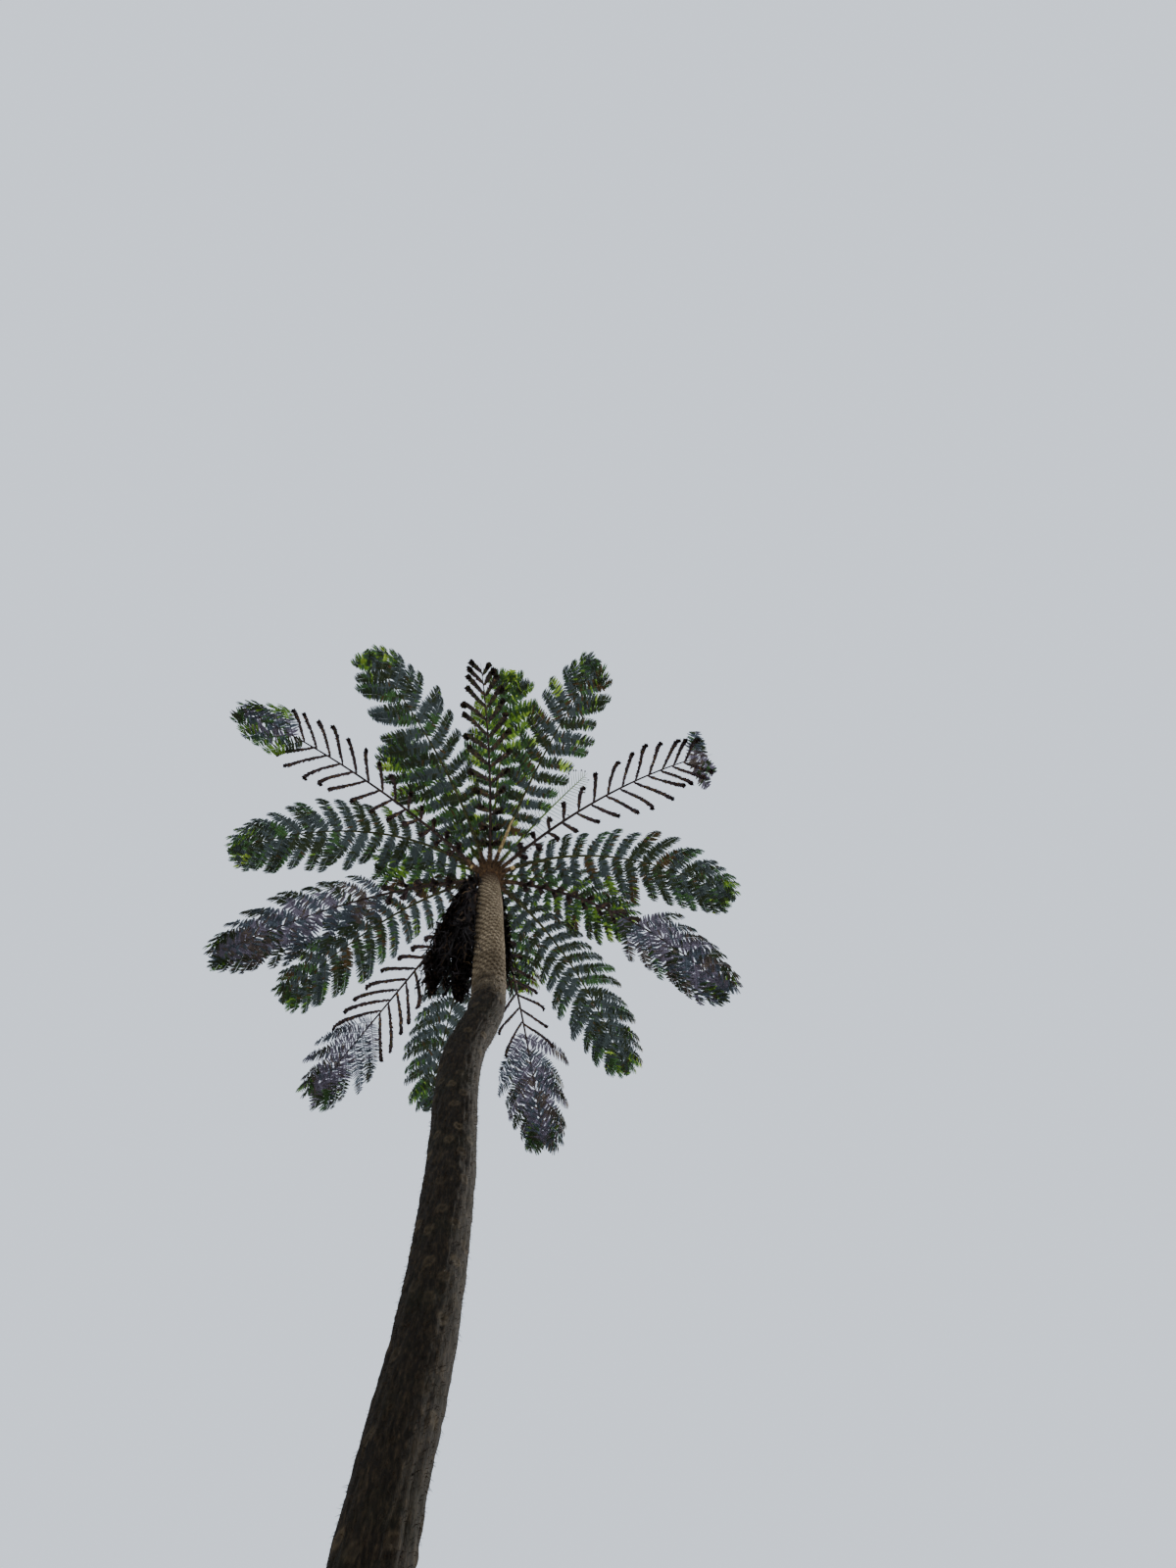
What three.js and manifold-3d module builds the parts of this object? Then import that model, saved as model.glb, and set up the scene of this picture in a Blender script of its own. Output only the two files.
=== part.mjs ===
// A tall, slender tree fern rooted in level ground. A leaning trunk carries a scaly head, and out of the
// head come a crown of arching fronds, a few broken stipes, and dead fronds that hang beside the trunk.
// Millimetres, +Z up. The origin is on the ground, in the middle of the trunk's flat foot.

import * as THREE from "three";
import Module from "manifold-3d";

const wasm = await Module();
wasm.setup();

// Trunk: the middle line bends twice on its way up, and the foot flares over its lowest stretch
const TRUNK_LINE = [
  [0, 0, 0], [-14, 12, 2200], [-8, 20, 4300], [34, 14, 5300], [34, 4, 6300], [2, -8, 7700],
  [90, -14, 8500], [72, -10, 9400], [22, -4, 10700], [-35, 0, 12200], [-48, 0, 12600],
];
const TRUNK_TOP = 11950;
const TRUNK_RADIUS = 100;
const TRUNK_THICKENING = 6;
const FOOT_RADIUS = 172;
const FLARE_HEIGHT = 620;
const FOOT_LOBES = 4;
const FOOT_LOBE_DEPTH = 14;
const NECK_RADIUS = 84;
const NECK_HEIGHT = 900;
const TRUNK_SIDES = 15;
const TRUNK_RINGS = 28;
const RING_CROWDING = 0.45;

// Head: the blunt growing tip that the stipes stand round, as [height, radius] from its seat upwards
const HEAD_PROFILE = [[0, 86], [90, 104], [230, 98], [350, 72], [450, 36]];
const HEAD_TIP = 500;
const HEAD_SIDES = 14;

// The head stands this far above the trunk, and the stipes stand this far off the head
const GAP = 0.4;

// Tiers of the head where stipes stand, as heights above the ground
const TIERS = { dead: 12010, old: 12065, middle: 12175, young: 12290 };

// Fronds. A rachis leaves the head at its rise and has turned down by its arch when it reaches its tip,
// and its heading turns by its swing. Up to its withered share, the pinnae have shrivelled to curled
// cords, and its spread widens or narrows the blade. Columns: name, tier, heading, rise, arch and swing
// (degrees), length, withered share, spread.
const FRONDS = [
  ["living_frond_1", "middle", 191, 49, 75, -38, 2660, 0, 1],
  ["living_frond_2", "middle", 143, 48, 69, -15, 2620, 0, 1],
  ["living_frond_3", "middle", 96, 42, 64, -2, 2600, 0, 1],
  ["living_frond_4", "middle", 41, 48, 70, 16, 2680, 0, 1],
  ["living_frond_5", "middle", 342, 54, 83, 36, 2600, 0, 1],
  ["living_frond_6", "middle", 285, 52, 61, 7, 2290, 0, 0.95],
  ["living_frond_7", "middle", 236, 49, 67, -13, 2390, 0, 1],
  ["withered_frond_1", "old", 156, 39, 68, -8, 2740, 0.4, 1.08],
  ["withered_frond_2", "old", 114, 35, 58, 8, 2790, 0.6, 1.12],
  ["withered_frond_3", "old", 69, 35, 63, 2, 2740, 0.55, 1.1],
  ["withered_frond_4", "old", 8, 42, 76, 22, 2620, 0.5, 1.05],
  ["withered_frond_5", "old", 314, 32, 84, 14, 2260, 0.85, 1],
  ["withered_frond_6", "old", 261, 45, 69, -7, 1880, 1, 0.85],
  ["withered_frond_7", "old", 205, 38, 67, -4, 2700, 0.75, 0.9],
  ["young_frond_1", "young", 263, 64, 60, 6, 2180, 0, 0.95],
  ["young_frond_2", "young", 214, 62, 56, 5, 1780, 0, 0.85],
  ["young_frond_3", "young", 166, 64, 60, -4, 1380, 0, 0.75],
  ["young_frond_4", "young", 69, 62, 60, 1, 1760, 0, 0.85],
  ["young_frond_5", "young", 17, 66, 62, 8, 2060, 0, 0.95],
  ["unfurling_frond", "young", 316, 69, 30, -3, 1920, 0, 1],
  ["dead_frond_1", "dead", 180, -78, 11, -45, 2750, 1, 1],
  ["dead_frond_2", "dead", 156, -73, 17, -8, 2900, 1, 1],
  ["dead_frond_3", "dead", 118, -70, 24, 45, 2880, 1, 1],
  ["dead_frond_4", "dead", 44, -72, 17.5, -45, 2400, 1, 0.7],
];

// Broken stipes: name, tier, heading, rise, arch (degrees) and length
const STUBS = [
  ["broken_stipe_1", "dead", 206, 6, 20, 90],
  ["broken_stipe_2", "dead", 322, -8, 30, 150],
];

const ARCH_POWER = 1.4;
const HANGING_POWER = 0.25;
const STIPE_RADIUS = 17;
const RACHIS_TIP_RADIUS = 4;
const TAPER_POWER = 1.15;
const STIPE_ROOT = 0.4;
const RACHIS_SIDES = 4;
const RACHIS_SPANS = 8;
const STEPS_PER_SPAN = 12;

// Pinnae stand in pairs from the bare stipe to the tip, closer together towards the tip, and the right
// one of a pair stands a little further out than the left one
const PAIR_SPACING = 225;
const DEAD_PAIR_SPACING = 330;
const FIRST_PINNA = 0.11;
const LAST_PINNA = 0.975;
const CROWDING = 1.25;
const STAGGER = 0.005;
const BASE_ANGLE = 76;
const TIP_ANGLE = 44;

// How long the pinnae are along a frond, as shares of the longest: the first ones and the gain from
// there, the powers of the fall towards the tip, the shortest of all, and the unevenness from one to the
// next. A short pinna is narrower too, down to the narrowest share. The seeds keep each one's own chance.
const FIRST_LENGTH = 0.42;
const LENGTH_GAIN = 1.15;
const TIP_FALL = 4;
const TIP_BLUNTNESS = 0.8;
const SHORTEST = 0.2;
const UNEVENNESS = 0.12;
const NARROWEST = 0.4;
const FROND_SEED = 50;
const SHARE_SEED = 90;

// The four states of a pinna: its greatest length and half width, the depth of its keel, how far its
// tip sags, and the shares of its length and half width where its sections stand beyond its root
const LIVING = { length: 520, half: 62, keel: 9, sag: 1.6, sections: [[0.13, 0.86], [0.6, 0.9]] };
const WITHERED = { length: 450, half: 18, keel: 16, sag: 1.3, sections: [[0.55, 1]] };
const UNFURLING = { length: 200, half: 5, keel: 7, sag: 0.2, sections: [[0.8, 1]] };
const SHRUNKEN = { length: 330, half: 46, keel: 40, sag: 9, sections: [[0.45, 1]] };
const PINNA_STEPS = 10;
const SAG_POWER = 1.8;

// A pinna that would come this near to another solid is shortened, and then left out
const CLEARANCE = 4;
const SHORTENED = [1, 0.78, 0.56];

// Slivers thinner than this, which the joins leave on a rachis, are closed up
const SLIVER = 0.1;

const DOWN = new THREE.Vector3(0, 0, -1);

const radians = THREE.MathUtils.degToRad;

// An even share between 0 and 1 that is always the same for the same number: what is left over from a
// whole number once a sine has been made very tall
const SINE_TURN = 12.9898;
const SINE_HEIGHT = 43758.5453;

function chance(number) {
  const wave = Math.sin(number * SINE_TURN) * SINE_HEIGHT;
  return wave - Math.floor(wave);
}

// A closed body through rings of points. Each ring runs right-handed about the way from the first ring
// to the last. A first or last ring of one point makes that end a tip, and any other is closed flat.
function skin(rings) {
  const points = rings.flat();
  const faces = [];
  let low = 0;
  for (let index = 0; index < rings.length - 1; index += 1) {
    const [here, ahead] = [rings[index].length, rings[index + 1].length];
    const high = low + here;
    for (let k = 0; k < Math.max(here, ahead); k += 1) {
      const next = k + 1;
      if (here > 1) faces.push([low + k, low + (next % here), high + (next % ahead)]);
      if (ahead > 1) faces.push([low + (k % here), high + (next % ahead), high + k]);
    }
    low = high;
  }
  for (let k = 1; k < rings[0].length - 1; k += 1) faces.push([0, k + 1, k]);
  for (let k = 1; k < rings.at(-1).length - 1; k += 1) faces.push([low, low + k, low + k + 1]);
  const mesh = new wasm.Mesh({
    numProp: 3,
    vertProperties: new Float32Array(points.flatMap((point) => point.toArray())),
    triVerts: new Uint32Array(faces.flat()),
  });
  return new wasm.Manifold(mesh);
}

const trunkLine = new THREE.CatmullRomCurve3(TRUNK_LINE.map((point) => new THREE.Vector3(...point)));

// The middle of the trunk at a height, found by halving the stretch of the line that holds it
function middleAt(height) {
  let low = 0;
  let high = 1;
  for (let step = 0; step < 30; step += 1) {
    const half = (low + high) / 2;
    if (trunkLine.getPoint(half).z < height) low = half;
    else high = half;
  }
  const middle = trunkLine.getPoint(low);
  middle.z = height;
  return middle;
}

function level(height, sides, radiusAt) {
  const middle = middleAt(height);
  const ring = [];
  for (let k = 0; k < sides; k += 1) {
    const angle = (2 * Math.PI * k) / sides;
    const radius = radiusAt(angle);
    ring.push(new THREE.Vector3(radius * Math.cos(angle), radius * Math.sin(angle), 0).add(middle));
  }
  return ring;
}

// The trunk thins slowly upwards and narrows to its neck, and its foot spreads in shallow lobes
function trunkRadius(height, angle) {
  const flare = Math.exp(-height / FLARE_HEIGHT);
  const neck = THREE.MathUtils.smoothstep(height, TRUNK_TOP - NECK_HEIGHT, TRUNK_TOP);
  const shaft = TRUNK_RADIUS + TRUNK_THICKENING * (1 - height / TRUNK_TOP);
  const lobes = FOOT_LOBE_DEPTH * Math.cos(FOOT_LOBES * angle + 1) * flare;
  const narrowed = shaft + (NECK_RADIUS - shaft) * neck;
  return narrowed + (FOOT_RADIUS - TRUNK_RADIUS - TRUNK_THICKENING) * flare + lobes;
}

function makeTrunk() {
  const rings = [];
  for (let ring = 0; ring <= TRUNK_RINGS; ring += 1) {
    const share = ring / TRUNK_RINGS;
    const height = TRUNK_TOP * ((1 - RING_CROWDING) * share + RING_CROWDING * share * share);
    rings.push(level(height, TRUNK_SIDES, (angle) => trunkRadius(height, angle)));
  }
  return skin(rings);
}

// The head, or with a margin the larger body that keeps stipes clear of it
function makeHead(margin) {
  const seat = TRUNK_TOP + GAP;
  const rings = HEAD_PROFILE.map(([height, radius], index) => {
    const lowered = index === 0 ? margin : 0;
    return level(seat + height - lowered, HEAD_SIDES, () => radius + margin);
  });
  const tip = middleAt(seat + HEAD_TIP);
  tip.z += margin;
  return skin([...rings, [tip]]);
}

function headRadius(height) {
  const above = height - TRUNK_TOP - GAP;
  const index = HEAD_PROFILE.findIndex(([top]) => top > above);
  const [low, wide] = HEAD_PROFILE[index - 1];
  const [high, narrow] = HEAD_PROFILE[index];
  return wide + ((narrow - wide) * (above - low)) / (high - low);
}

// The level way at a heading, counted from +X towards +Y
function compass(heading) {
  return new THREE.Vector3(Math.cos(radians(heading)), Math.sin(radians(heading)), 0);
}

// The line of a rachis: its direction at a share of its length, the level way to its right, and its
// place. The ends of its straight spans come from adding up small steps, and pinnae stand on the spans.
function rachisLine(frond) {
  const { heading, rise, arch, swing, length, power, spans } = frond;
  function direction(share) {
    const slope = radians(rise - arch * share ** power);
    return compass(heading + swing * share).multiplyScalar(Math.cos(slope)).setZ(Math.sin(slope));
  }
  function rightwards(share) {
    return compass(heading + swing * share - 90);
  }
  const seatHeight = TIERS[frond.tier];
  const outwards = compass(heading);
  const point = middleAt(seatHeight).addScaledVector(outwards, headRadius(seatHeight));
  const ends = [point.clone()];
  const steps = spans * STEPS_PER_SPAN;
  for (let step = 0; step < steps; step += 1) {
    point.addScaledVector(direction((step + 0.5) / steps), length / steps);
    if ((step + 1) % STEPS_PER_SPAN === 0) ends.push(point.clone());
  }
  function place(share) {
    const span = Math.min(Math.floor(share * spans), spans - 1);
    return ends[span].clone().lerp(ends[span + 1], share * spans - span);
  }
  return { direction, rightwards, place };
}

// The frame of a rachis at a share of its length: along it, to its right, and out of its upper face
function frameAt(line, share) {
  const along = line.direction(share);
  const right = line.rightwards(share);
  const over = right.clone().cross(along);
  return { along, right, over, point: line.place(share) };
}

function rachisRadius(share) {
  return RACHIS_TIP_RADIUS + (STIPE_RADIUS - RACHIS_TIP_RADIUS) * (1 - share) ** TAPER_POWER;
}

function ringAcross(frame, radius) {
  const ring = [];
  for (let k = 0; k < RACHIS_SIDES; k += 1) {
    const angle = (2 * Math.PI * (k + 0.5)) / RACHIS_SIDES;
    const point = frame.point.clone().addScaledVector(frame.over, radius * Math.cos(angle));
    ring.push(point.addScaledVector(frame.right, radius * Math.sin(angle)));
  }
  return ring;
}

// The stipe and rachis in one tapering limb, which starts inside the head and is cut back to its face
function makeRachis(frond, headSpace) {
  const sunk = frameAt(frond.line, 0);
  sunk.point.addScaledVector(sunk.along, -STIPE_ROOT * headRadius(TIERS[frond.tier]));
  const rings = [ringAcross(sunk, STIPE_RADIUS)];
  for (let span = 1; span <= frond.spans; span += 1) {
    const share = span / frond.spans;
    const radius = frond.broken ? STIPE_RADIUS : rachisRadius(share);
    rings.push(ringAcross(frameAt(frond.line, share), radius));
  }
  return skin(rings).subtract(headSpace);
}

// Pinnae are short above the stipe, longest past the middle of the frond, and short again at its tip
function lengthShare(u) {
  return Math.min(1, FIRST_LENGTH + LENGTH_GAIN * u) * (1 - u ** TIP_FALL) ** TIP_BLUNTNESS;
}

// One pinna: a thin blade with a keel below it, which leaves the rachis in the frond's plane and sags.
// It bends about one straight way across it, so that its upper face isn't twisted.
function makePinna(frond, share, u, side, state, reach, margin) {
  const frame = frameAt(frond.line, share);
  const angle = radians(BASE_ANGLE + (TIP_ANGLE - BASE_ANGLE) * u);
  const out = frame.along.clone().multiplyScalar(Math.cos(angle));
  out.addScaledVector(frame.right, side * Math.sin(angle));
  const even = state.length * Math.max(lengthShare(u), SHORTEST) * frond.spread * reach;
  const seed = frond.number * FROND_SEED + share * SHARE_SEED + side;
  const length = even * (1 + UNEVENNESS * (chance(seed) - 0.5)) + margin;
  const narrowing = NARROWEST + (1 - NARROWEST) * lengthShare(u);
  const wayAt = (at) => out.clone().addScaledVector(DOWN, state.sag * at ** SAG_POWER).normalize();
  const across = frame.along.clone().multiplyScalar(side);
  across.addScaledVector(wayAt(0.5), -across.dot(wayAt(0.5))).normalize();
  const rings = [];
  const point = frame.point.clone();
  let done = 0;
  for (const [at, wide] of [[0, 0], ...state.sections, [1, 0]]) {
    while (done < Math.round(at * PINNA_STEPS)) {
      point.addScaledVector(wayAt((done + 0.5) / PINNA_STEPS), length / PINNA_STEPS);
      done += 1;
    }
    const upper = wayAt(at).cross(across).normalize();
    const half = state.half * wide * narrowing + margin;
    rings.push(wide === 0 ? [point.clone()] : [
      point.clone().addScaledVector(across, half).addScaledVector(upper, margin),
      point.clone().addScaledVector(across, -half).addScaledVector(upper, margin),
      point.clone().addScaledVector(upper, -state.keel - margin),
    ]);
  }
  return skin(rings);
}

function boxesMeet(one, other) {
  return [0, 1, 2].every((axis) => one.min[axis] <= other.max[axis] && other.min[axis] <= one.max[axis]);
}

function touches(solid, neighbours) {
  const box = solid.boundingBox();
  return neighbours.some((neighbour) => (
    boxesMeet(box, neighbour.box) && !solid.intersect(neighbour.solid).isEmpty()
  ));
}

function boxed(solid) {
  return { solid, box: solid.boundingBox() };
}

function stateOf(frond, share) {
  if (frond.name === "unfurling_frond") return UNFURLING;
  if (frond.tier === "dead") return SHRUNKEN;
  return share < frond.withered ? WITHERED : LIVING;
}

// A whole frond: pairs of pinnae fused on the rachis, each cut short where its neighbours are
function makeFrond(frond, neighbours) {
  let solid = frond.rachis;
  const spacing = frond.tier === "dead" ? DEAD_PAIR_SPACING : PAIR_SPACING;
  const pairs = Math.round(frond.length / spacing);
  for (let pair = 0; pair < pairs; pair += 1) {
    const u = pair / pairs;
    const pairShare = FIRST_PINNA + (LAST_PINNA - FIRST_PINNA) * (1 - (1 - u) ** CROWDING);
    for (const side of [-1, 1]) {
      const share = pairShare + side * STAGGER;
      const state = stateOf(frond, share);
      const fits = SHORTENED.find((reach) => (
        !touches(makePinna(frond, share, u, side, state, reach, CLEARANCE), neighbours)
      ));
      if (fits) solid = solid.add(makePinna(frond, share, u, side, state, fits, 0));
    }
  }
  return solid.simplify(SLIVER);
}

function toGeometry(solid) {
  const { vertProperties, triVerts } = solid.getMesh();
  const geometry = new THREE.BufferGeometry();
  geometry.setAttribute("position", new THREE.BufferAttribute(vertProperties, 3));
  geometry.setIndex(new THREE.BufferAttribute(triVerts, 1));
  geometry.computeVertexNormals();
  return geometry;
}

const bark = new THREE.MeshStandardMaterial({ color: 0x4a3c31, roughness: 0.95, metalness: 0 });
const scales = new THREE.MeshStandardMaterial({ color: 0x5b4028, roughness: 0.9, metalness: 0 });
const livingGreen = new THREE.MeshStandardMaterial({ color: 0x55704a, roughness: 0.7, metalness: 0 });
const youngGreen = new THREE.MeshStandardMaterial({ color: 0x6f9a3e, roughness: 0.65, metalness: 0 });
const withering = new THREE.MeshStandardMaterial({ color: 0x5f5a58, roughness: 0.85, metalness: 0 });
const deadBrown = new THREE.MeshStandardMaterial({ color: 0x33261c, roughness: 0.95, metalness: 0 });

const fern = new THREE.Group();

function addMesh(name, solid, material) {
  const mesh = new THREE.Mesh(toGeometry(solid), material);
  mesh.name = name;
  fern.add(mesh);
}

const trunk = makeTrunk();
const head = makeHead(0);
const headSpace = makeHead(GAP);
addMesh("trunk", trunk, bark);
addMesh("crown_head", head, scales);

const fronds = FRONDS.map((row, number) => {
  const [name, tier, heading, rise, arch, swing, length, withered, spread] = row;
  const power = tier === "dead" ? HANGING_POWER : ARCH_POWER;
  const frond = { name, number, tier, heading, rise, arch, swing, length, withered, spread, power };
  frond.spans = RACHIS_SPANS;
  frond.line = rachisLine(frond);
  frond.rachis = makeRachis(frond, headSpace);
  return frond;
});

const stubs = STUBS.map(([name, tier, heading, rise, arch, length]) => {
  const stub = { name, tier, heading, rise, arch, length, swing: 0, power: 1, spans: 2, broken: true };
  stub.line = rachisLine(stub);
  stub.solid = makeRachis(stub, headSpace);
  return stub;
});

for (const stub of stubs) addMesh(stub.name, stub.solid, deadBrown);

function materialOf(frond) {
  if (frond.tier === "dead") return deadBrown;
  if (frond.tier === "young") return youngGreen;
  return frond.withered > 0 ? withering : livingGreen;
}

const standing = [boxed(trunk), boxed(head), ...stubs.map((stub) => boxed(stub.solid))];
for (const frond of fronds) {
  const others = fronds.filter((other) => other !== frond);
  const neighbours = others.map((other) => boxed(other.solid ?? other.rachis));
  frond.solid = makeFrond(frond, [...standing, ...neighbours]);
  addMesh(frond.name, frond.solid, materialOf(frond));
}

export default fern;
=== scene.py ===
"""A tall tree fern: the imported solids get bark, a scaly head, stipes, leaflets and withered fronds.

Metres, with +Z up. The origin is on the ground, in the middle of the trunk's flat foot. Every frond
follows the rule of its solid: a rachis arches outwards and down, and pairs of pinnae stand along it. Here
the pairs stand closer together, each pinna is set with its own leaflets, and the tips are a little blunter.
"""

import bpy
import numpy as np
from mathutils import Matrix


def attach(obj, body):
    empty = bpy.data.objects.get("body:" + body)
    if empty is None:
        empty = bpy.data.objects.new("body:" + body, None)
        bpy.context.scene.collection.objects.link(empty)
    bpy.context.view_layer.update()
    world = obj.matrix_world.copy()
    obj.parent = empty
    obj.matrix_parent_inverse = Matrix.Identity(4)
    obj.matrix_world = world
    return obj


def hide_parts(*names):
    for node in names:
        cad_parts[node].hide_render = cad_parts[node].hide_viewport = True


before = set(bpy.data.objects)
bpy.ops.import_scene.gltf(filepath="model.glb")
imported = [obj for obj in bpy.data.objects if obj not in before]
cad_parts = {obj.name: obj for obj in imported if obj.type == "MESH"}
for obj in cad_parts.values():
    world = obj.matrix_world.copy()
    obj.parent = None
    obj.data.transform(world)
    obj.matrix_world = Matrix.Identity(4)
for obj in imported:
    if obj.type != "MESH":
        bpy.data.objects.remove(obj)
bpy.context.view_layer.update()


# The trunk is a slender stem of hard fibres, wrapped in its own dead roots. Every frond that dropped has
# left an oval scar on it, and the scars wind upwards, far apart low down and packed like plaiting under
# the head. It leans and bends as it grew, and its foot spreads in shallow lobes on the ground.

TRUNK_LINE = np.array([
    (0, 0, 0), (-0.014, 0.012, 2.2), (-0.008, 0.020, 4.3), (0.034, 0.014, 5.3), (0.034, 0.004, 6.3),
    (0.002, -0.008, 7.7), (0.090, -0.014, 8.5), (0.072, -0.010, 9.4), (0.022, -0.004, 10.7),
    (-0.035, 0, 12.2), (-0.048, 0, 12.6),
])
TRUNK_TOP = 11.95
TRUNK_RADIUS = 0.100
TRUNK_THICKENING = 0.006
FOOT_RADIUS = 0.172
FLARE_HEIGHT = 0.62
FOOT_LOBES = 4
FOOT_LOBE_DEPTH = 0.014
FOOT_LOBE_TURN = 1
NECK_RADIUS = 0.084
NECK_HEIGHT = 0.9
STEPS_A_STRETCH = 60


def between(ends, share):
    """The number at a share of the way from the first end to the second."""
    return ends[0] + (ends[1] - ends[0]) * share


def smooth_step(value, low, high):
    """Goes from 0 at low to 1 at high, level at both ends: three squares less two cubes of the share."""
    share = np.clip((value - low) / (high - low), 0, 1)
    return share * share * (3 - 2 * share)


def bent_line(corners, steps):
    """A smooth curve through the corners: on each stretch a cubic whose end slopes are weighed by the
    square roots of the distances between the corners, with one more corner mirrored past each end."""
    first, last = 2 * corners[0] - corners[1], 2 * corners[-1] - corners[-2]
    corners = np.vstack([first, corners, last])
    reach = np.sqrt(np.linalg.norm(np.diff(corners, axis=0), axis=1))[:, None]
    slope = np.diff(corners, axis=0) / reach
    wide = (corners[2:] - corners[:-2]) / (reach[:-1] + reach[1:])
    leaving = (slope[:-2] - wide[:-1] + slope[1:-1]) * reach[1:-1]
    arriving = (slope[1:-1] - wide[1:] + slope[2:]) * reach[1:-1]
    begin, end = corners[1:-2], corners[2:-1]
    bend = -3 * begin + 3 * end - 2 * leaving - arriving
    twist = 2 * begin - 2 * end + leaving + arriving
    share = np.linspace(0, 1, steps, endpoint=False)[None, :, None]
    curve = begin[:, None] + share * (leaving[:, None] + share * (bend[:, None] + share * twist[:, None]))
    return np.vstack([curve.reshape(-1, 3), corners[-2]])


trunk_line = bent_line(TRUNK_LINE, STEPS_A_STRETCH)


def middle_at(height):
    """The trunk's middle at each height, read off its bent line."""
    across = [np.interp(height, trunk_line[:, 2], trunk_line[:, axis]) for axis in (0, 1)]
    return np.stack([*across, np.asarray(height, float)], axis=-1)


def level_way(angle):
    """The level way at an angle from +X: its cosine, its sine and no rise."""
    return np.stack([np.cos(angle), np.sin(angle), 0 * angle], axis=-1)


def around(height, angle, reach):
    """Places round the trunk: its middle at the height, plus the reach along the level way at the angle."""
    return middle_at(height) + np.asarray(reach)[..., None] * level_way(angle)


def trunk_radius(height, angle):
    """A shaft that thins slowly, blended into its neck, plus a flare that fades with height by the power
    of e and carries a cosine of the angle as its lobes."""
    flare = np.exp(-height / FLARE_HEIGHT)
    neck = smooth_step(height, TRUNK_TOP - NECK_HEIGHT, TRUNK_TOP)
    shaft = TRUNK_RADIUS + TRUNK_THICKENING * (1 - height / TRUNK_TOP)
    lobes = FOOT_LOBE_DEPTH * np.cos(FOOT_LOBES * angle + FOOT_LOBE_TURN)
    widened = (FOOT_RADIUS - TRUNK_RADIUS - TRUNK_THICKENING + lobes) * flare
    return shaft + (NECK_RADIUS - shaft) * neck + widened


# Pairs of numbers are the value on the lower trunk and the value where the scars are packed
PLAITED_FROM = 8.3
PLAITED_ABOVE = 9.2
SCAR_SPACING = (0.105, 0.055)
SCAR_HALF_WIDTH = (0.017, 0.021)
SCAR_HALF_HEIGHT = (0.027, 0.040)
SCAR_RIM = (0.0030, 0.0045)
SCAR_PIT = (0.0020, 0.0065)
FIBRE_RELIEF = (0.0075, 0.0025)
SCAR_SLANT = 1.6
RIM_WIDTH = 0.24
PIT_EDGE = 1.05
PIT_SLOPE = 0.55
SCARS_EACH_WAY = 36
FARTHEST_SCAR = 9.0
GOLDEN_ANGLE = np.pi * (3 - np.sqrt(5))
SCAR_COUNT_STEPS = 3000

steps_up = np.linspace(0, TRUNK_TOP, SCAR_COUNT_STEPS)
spacing_up = between(SCAR_SPACING, smooth_step(steps_up, PLAITED_FROM, PLAITED_ABOVE))
scars_per_metre = 2 * np.pi * TRUNK_RADIUS / spacing_up**2
scars_below = np.concatenate([[0], np.cumsum(scars_per_metre[1:] * np.diff(steps_up))])


def scar_distance(height, angle, radius):
    """How far each place is from the middle of its nearest scar, in halves of the scar, and that scar's
    number. Scar n stands n golden angles round, as high as the spacing puts it."""
    plaited = smooth_step(height, PLAITED_FROM, PLAITED_ABOVE)
    number = np.round(np.interp(height, steps_up, scars_below))
    nearest, owner = np.full(np.shape(radius), FARTHEST_SCAR), np.zeros(np.shape(radius), int)
    for step in range(-SCARS_EACH_WAY, SCARS_EACH_WAY + 1):
        scar = number + step
        across = ((angle - scar * GOLDEN_ANGLE + np.pi) % (2 * np.pi) - np.pi) * radius
        up = height - np.interp(scar, scars_below, steps_up) + SCAR_SLANT * plaited * np.abs(across)
        reach = np.hypot(across / between(SCAR_HALF_WIDTH, plaited), up / between(SCAR_HALF_HEIGHT, plaited))
        owner = np.where(reach < nearest, scar, owner).astype(int)
        nearest = np.minimum(nearest, reach)
    return nearest, owner


def streaks(rows, columns, reach, seed):
    """Noise drawn out lengthwise: random numbers on lines that are reach rows apart, blended between."""
    dice = np.random.default_rng(seed)
    lines = dice.random((rows // reach + 2, columns)) - 0.5
    at = np.arange(rows) / reach
    low = at.astype(int)
    share = smooth_step(at - low, 0, 1)[:, None]
    return lines[low] * (1 - share) + lines[low + 1] * share


def ring_faces(rows, columns):
    """The faces of a grid whose columns close into a ring, facing away from its middle: two triangles
    between each four points."""
    low = np.arange(rows - 1)[:, None] * columns
    here = np.arange(columns)[None, :]
    ahead = (here + 1) % columns
    corners = [low + here, low + ahead, low + columns + ahead, low + columns + here]
    corners = np.stack(corners, axis=-1).reshape(-1, 4)
    return np.vstack([corners[:, [0, 1, 2]], corners[:, [0, 2, 3]]])


def closed_skin(rings, low_middle, high_middle):
    """A skin over rings, an array of row, place round and axis, with a fan from a middle point over the
    lowest ring and over the highest."""
    rows, columns = rings.shape[:2]
    points = np.vstack([rings.reshape(-1, 3), low_middle, high_middle])
    low_ring = np.arange(columns)
    high_ring = low_ring + (rows - 1) * columns
    low_fan = np.stack([np.roll(low_ring, -1), low_ring, np.full(columns, len(points) - 2)], axis=-1)
    high_fan = np.stack([high_ring, np.roll(high_ring, -1), np.full(columns, len(points) - 1)], axis=-1)
    return points, np.vstack([ring_faces(rows, columns), low_fan, high_fan])


def skin_grid(heights, columns):
    """Every height with every angle of a ring of columns, as two arrays of row and column."""
    return np.meshgrid(heights, np.arange(columns) * 2 * np.pi / columns, indexing="ij")


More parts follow.
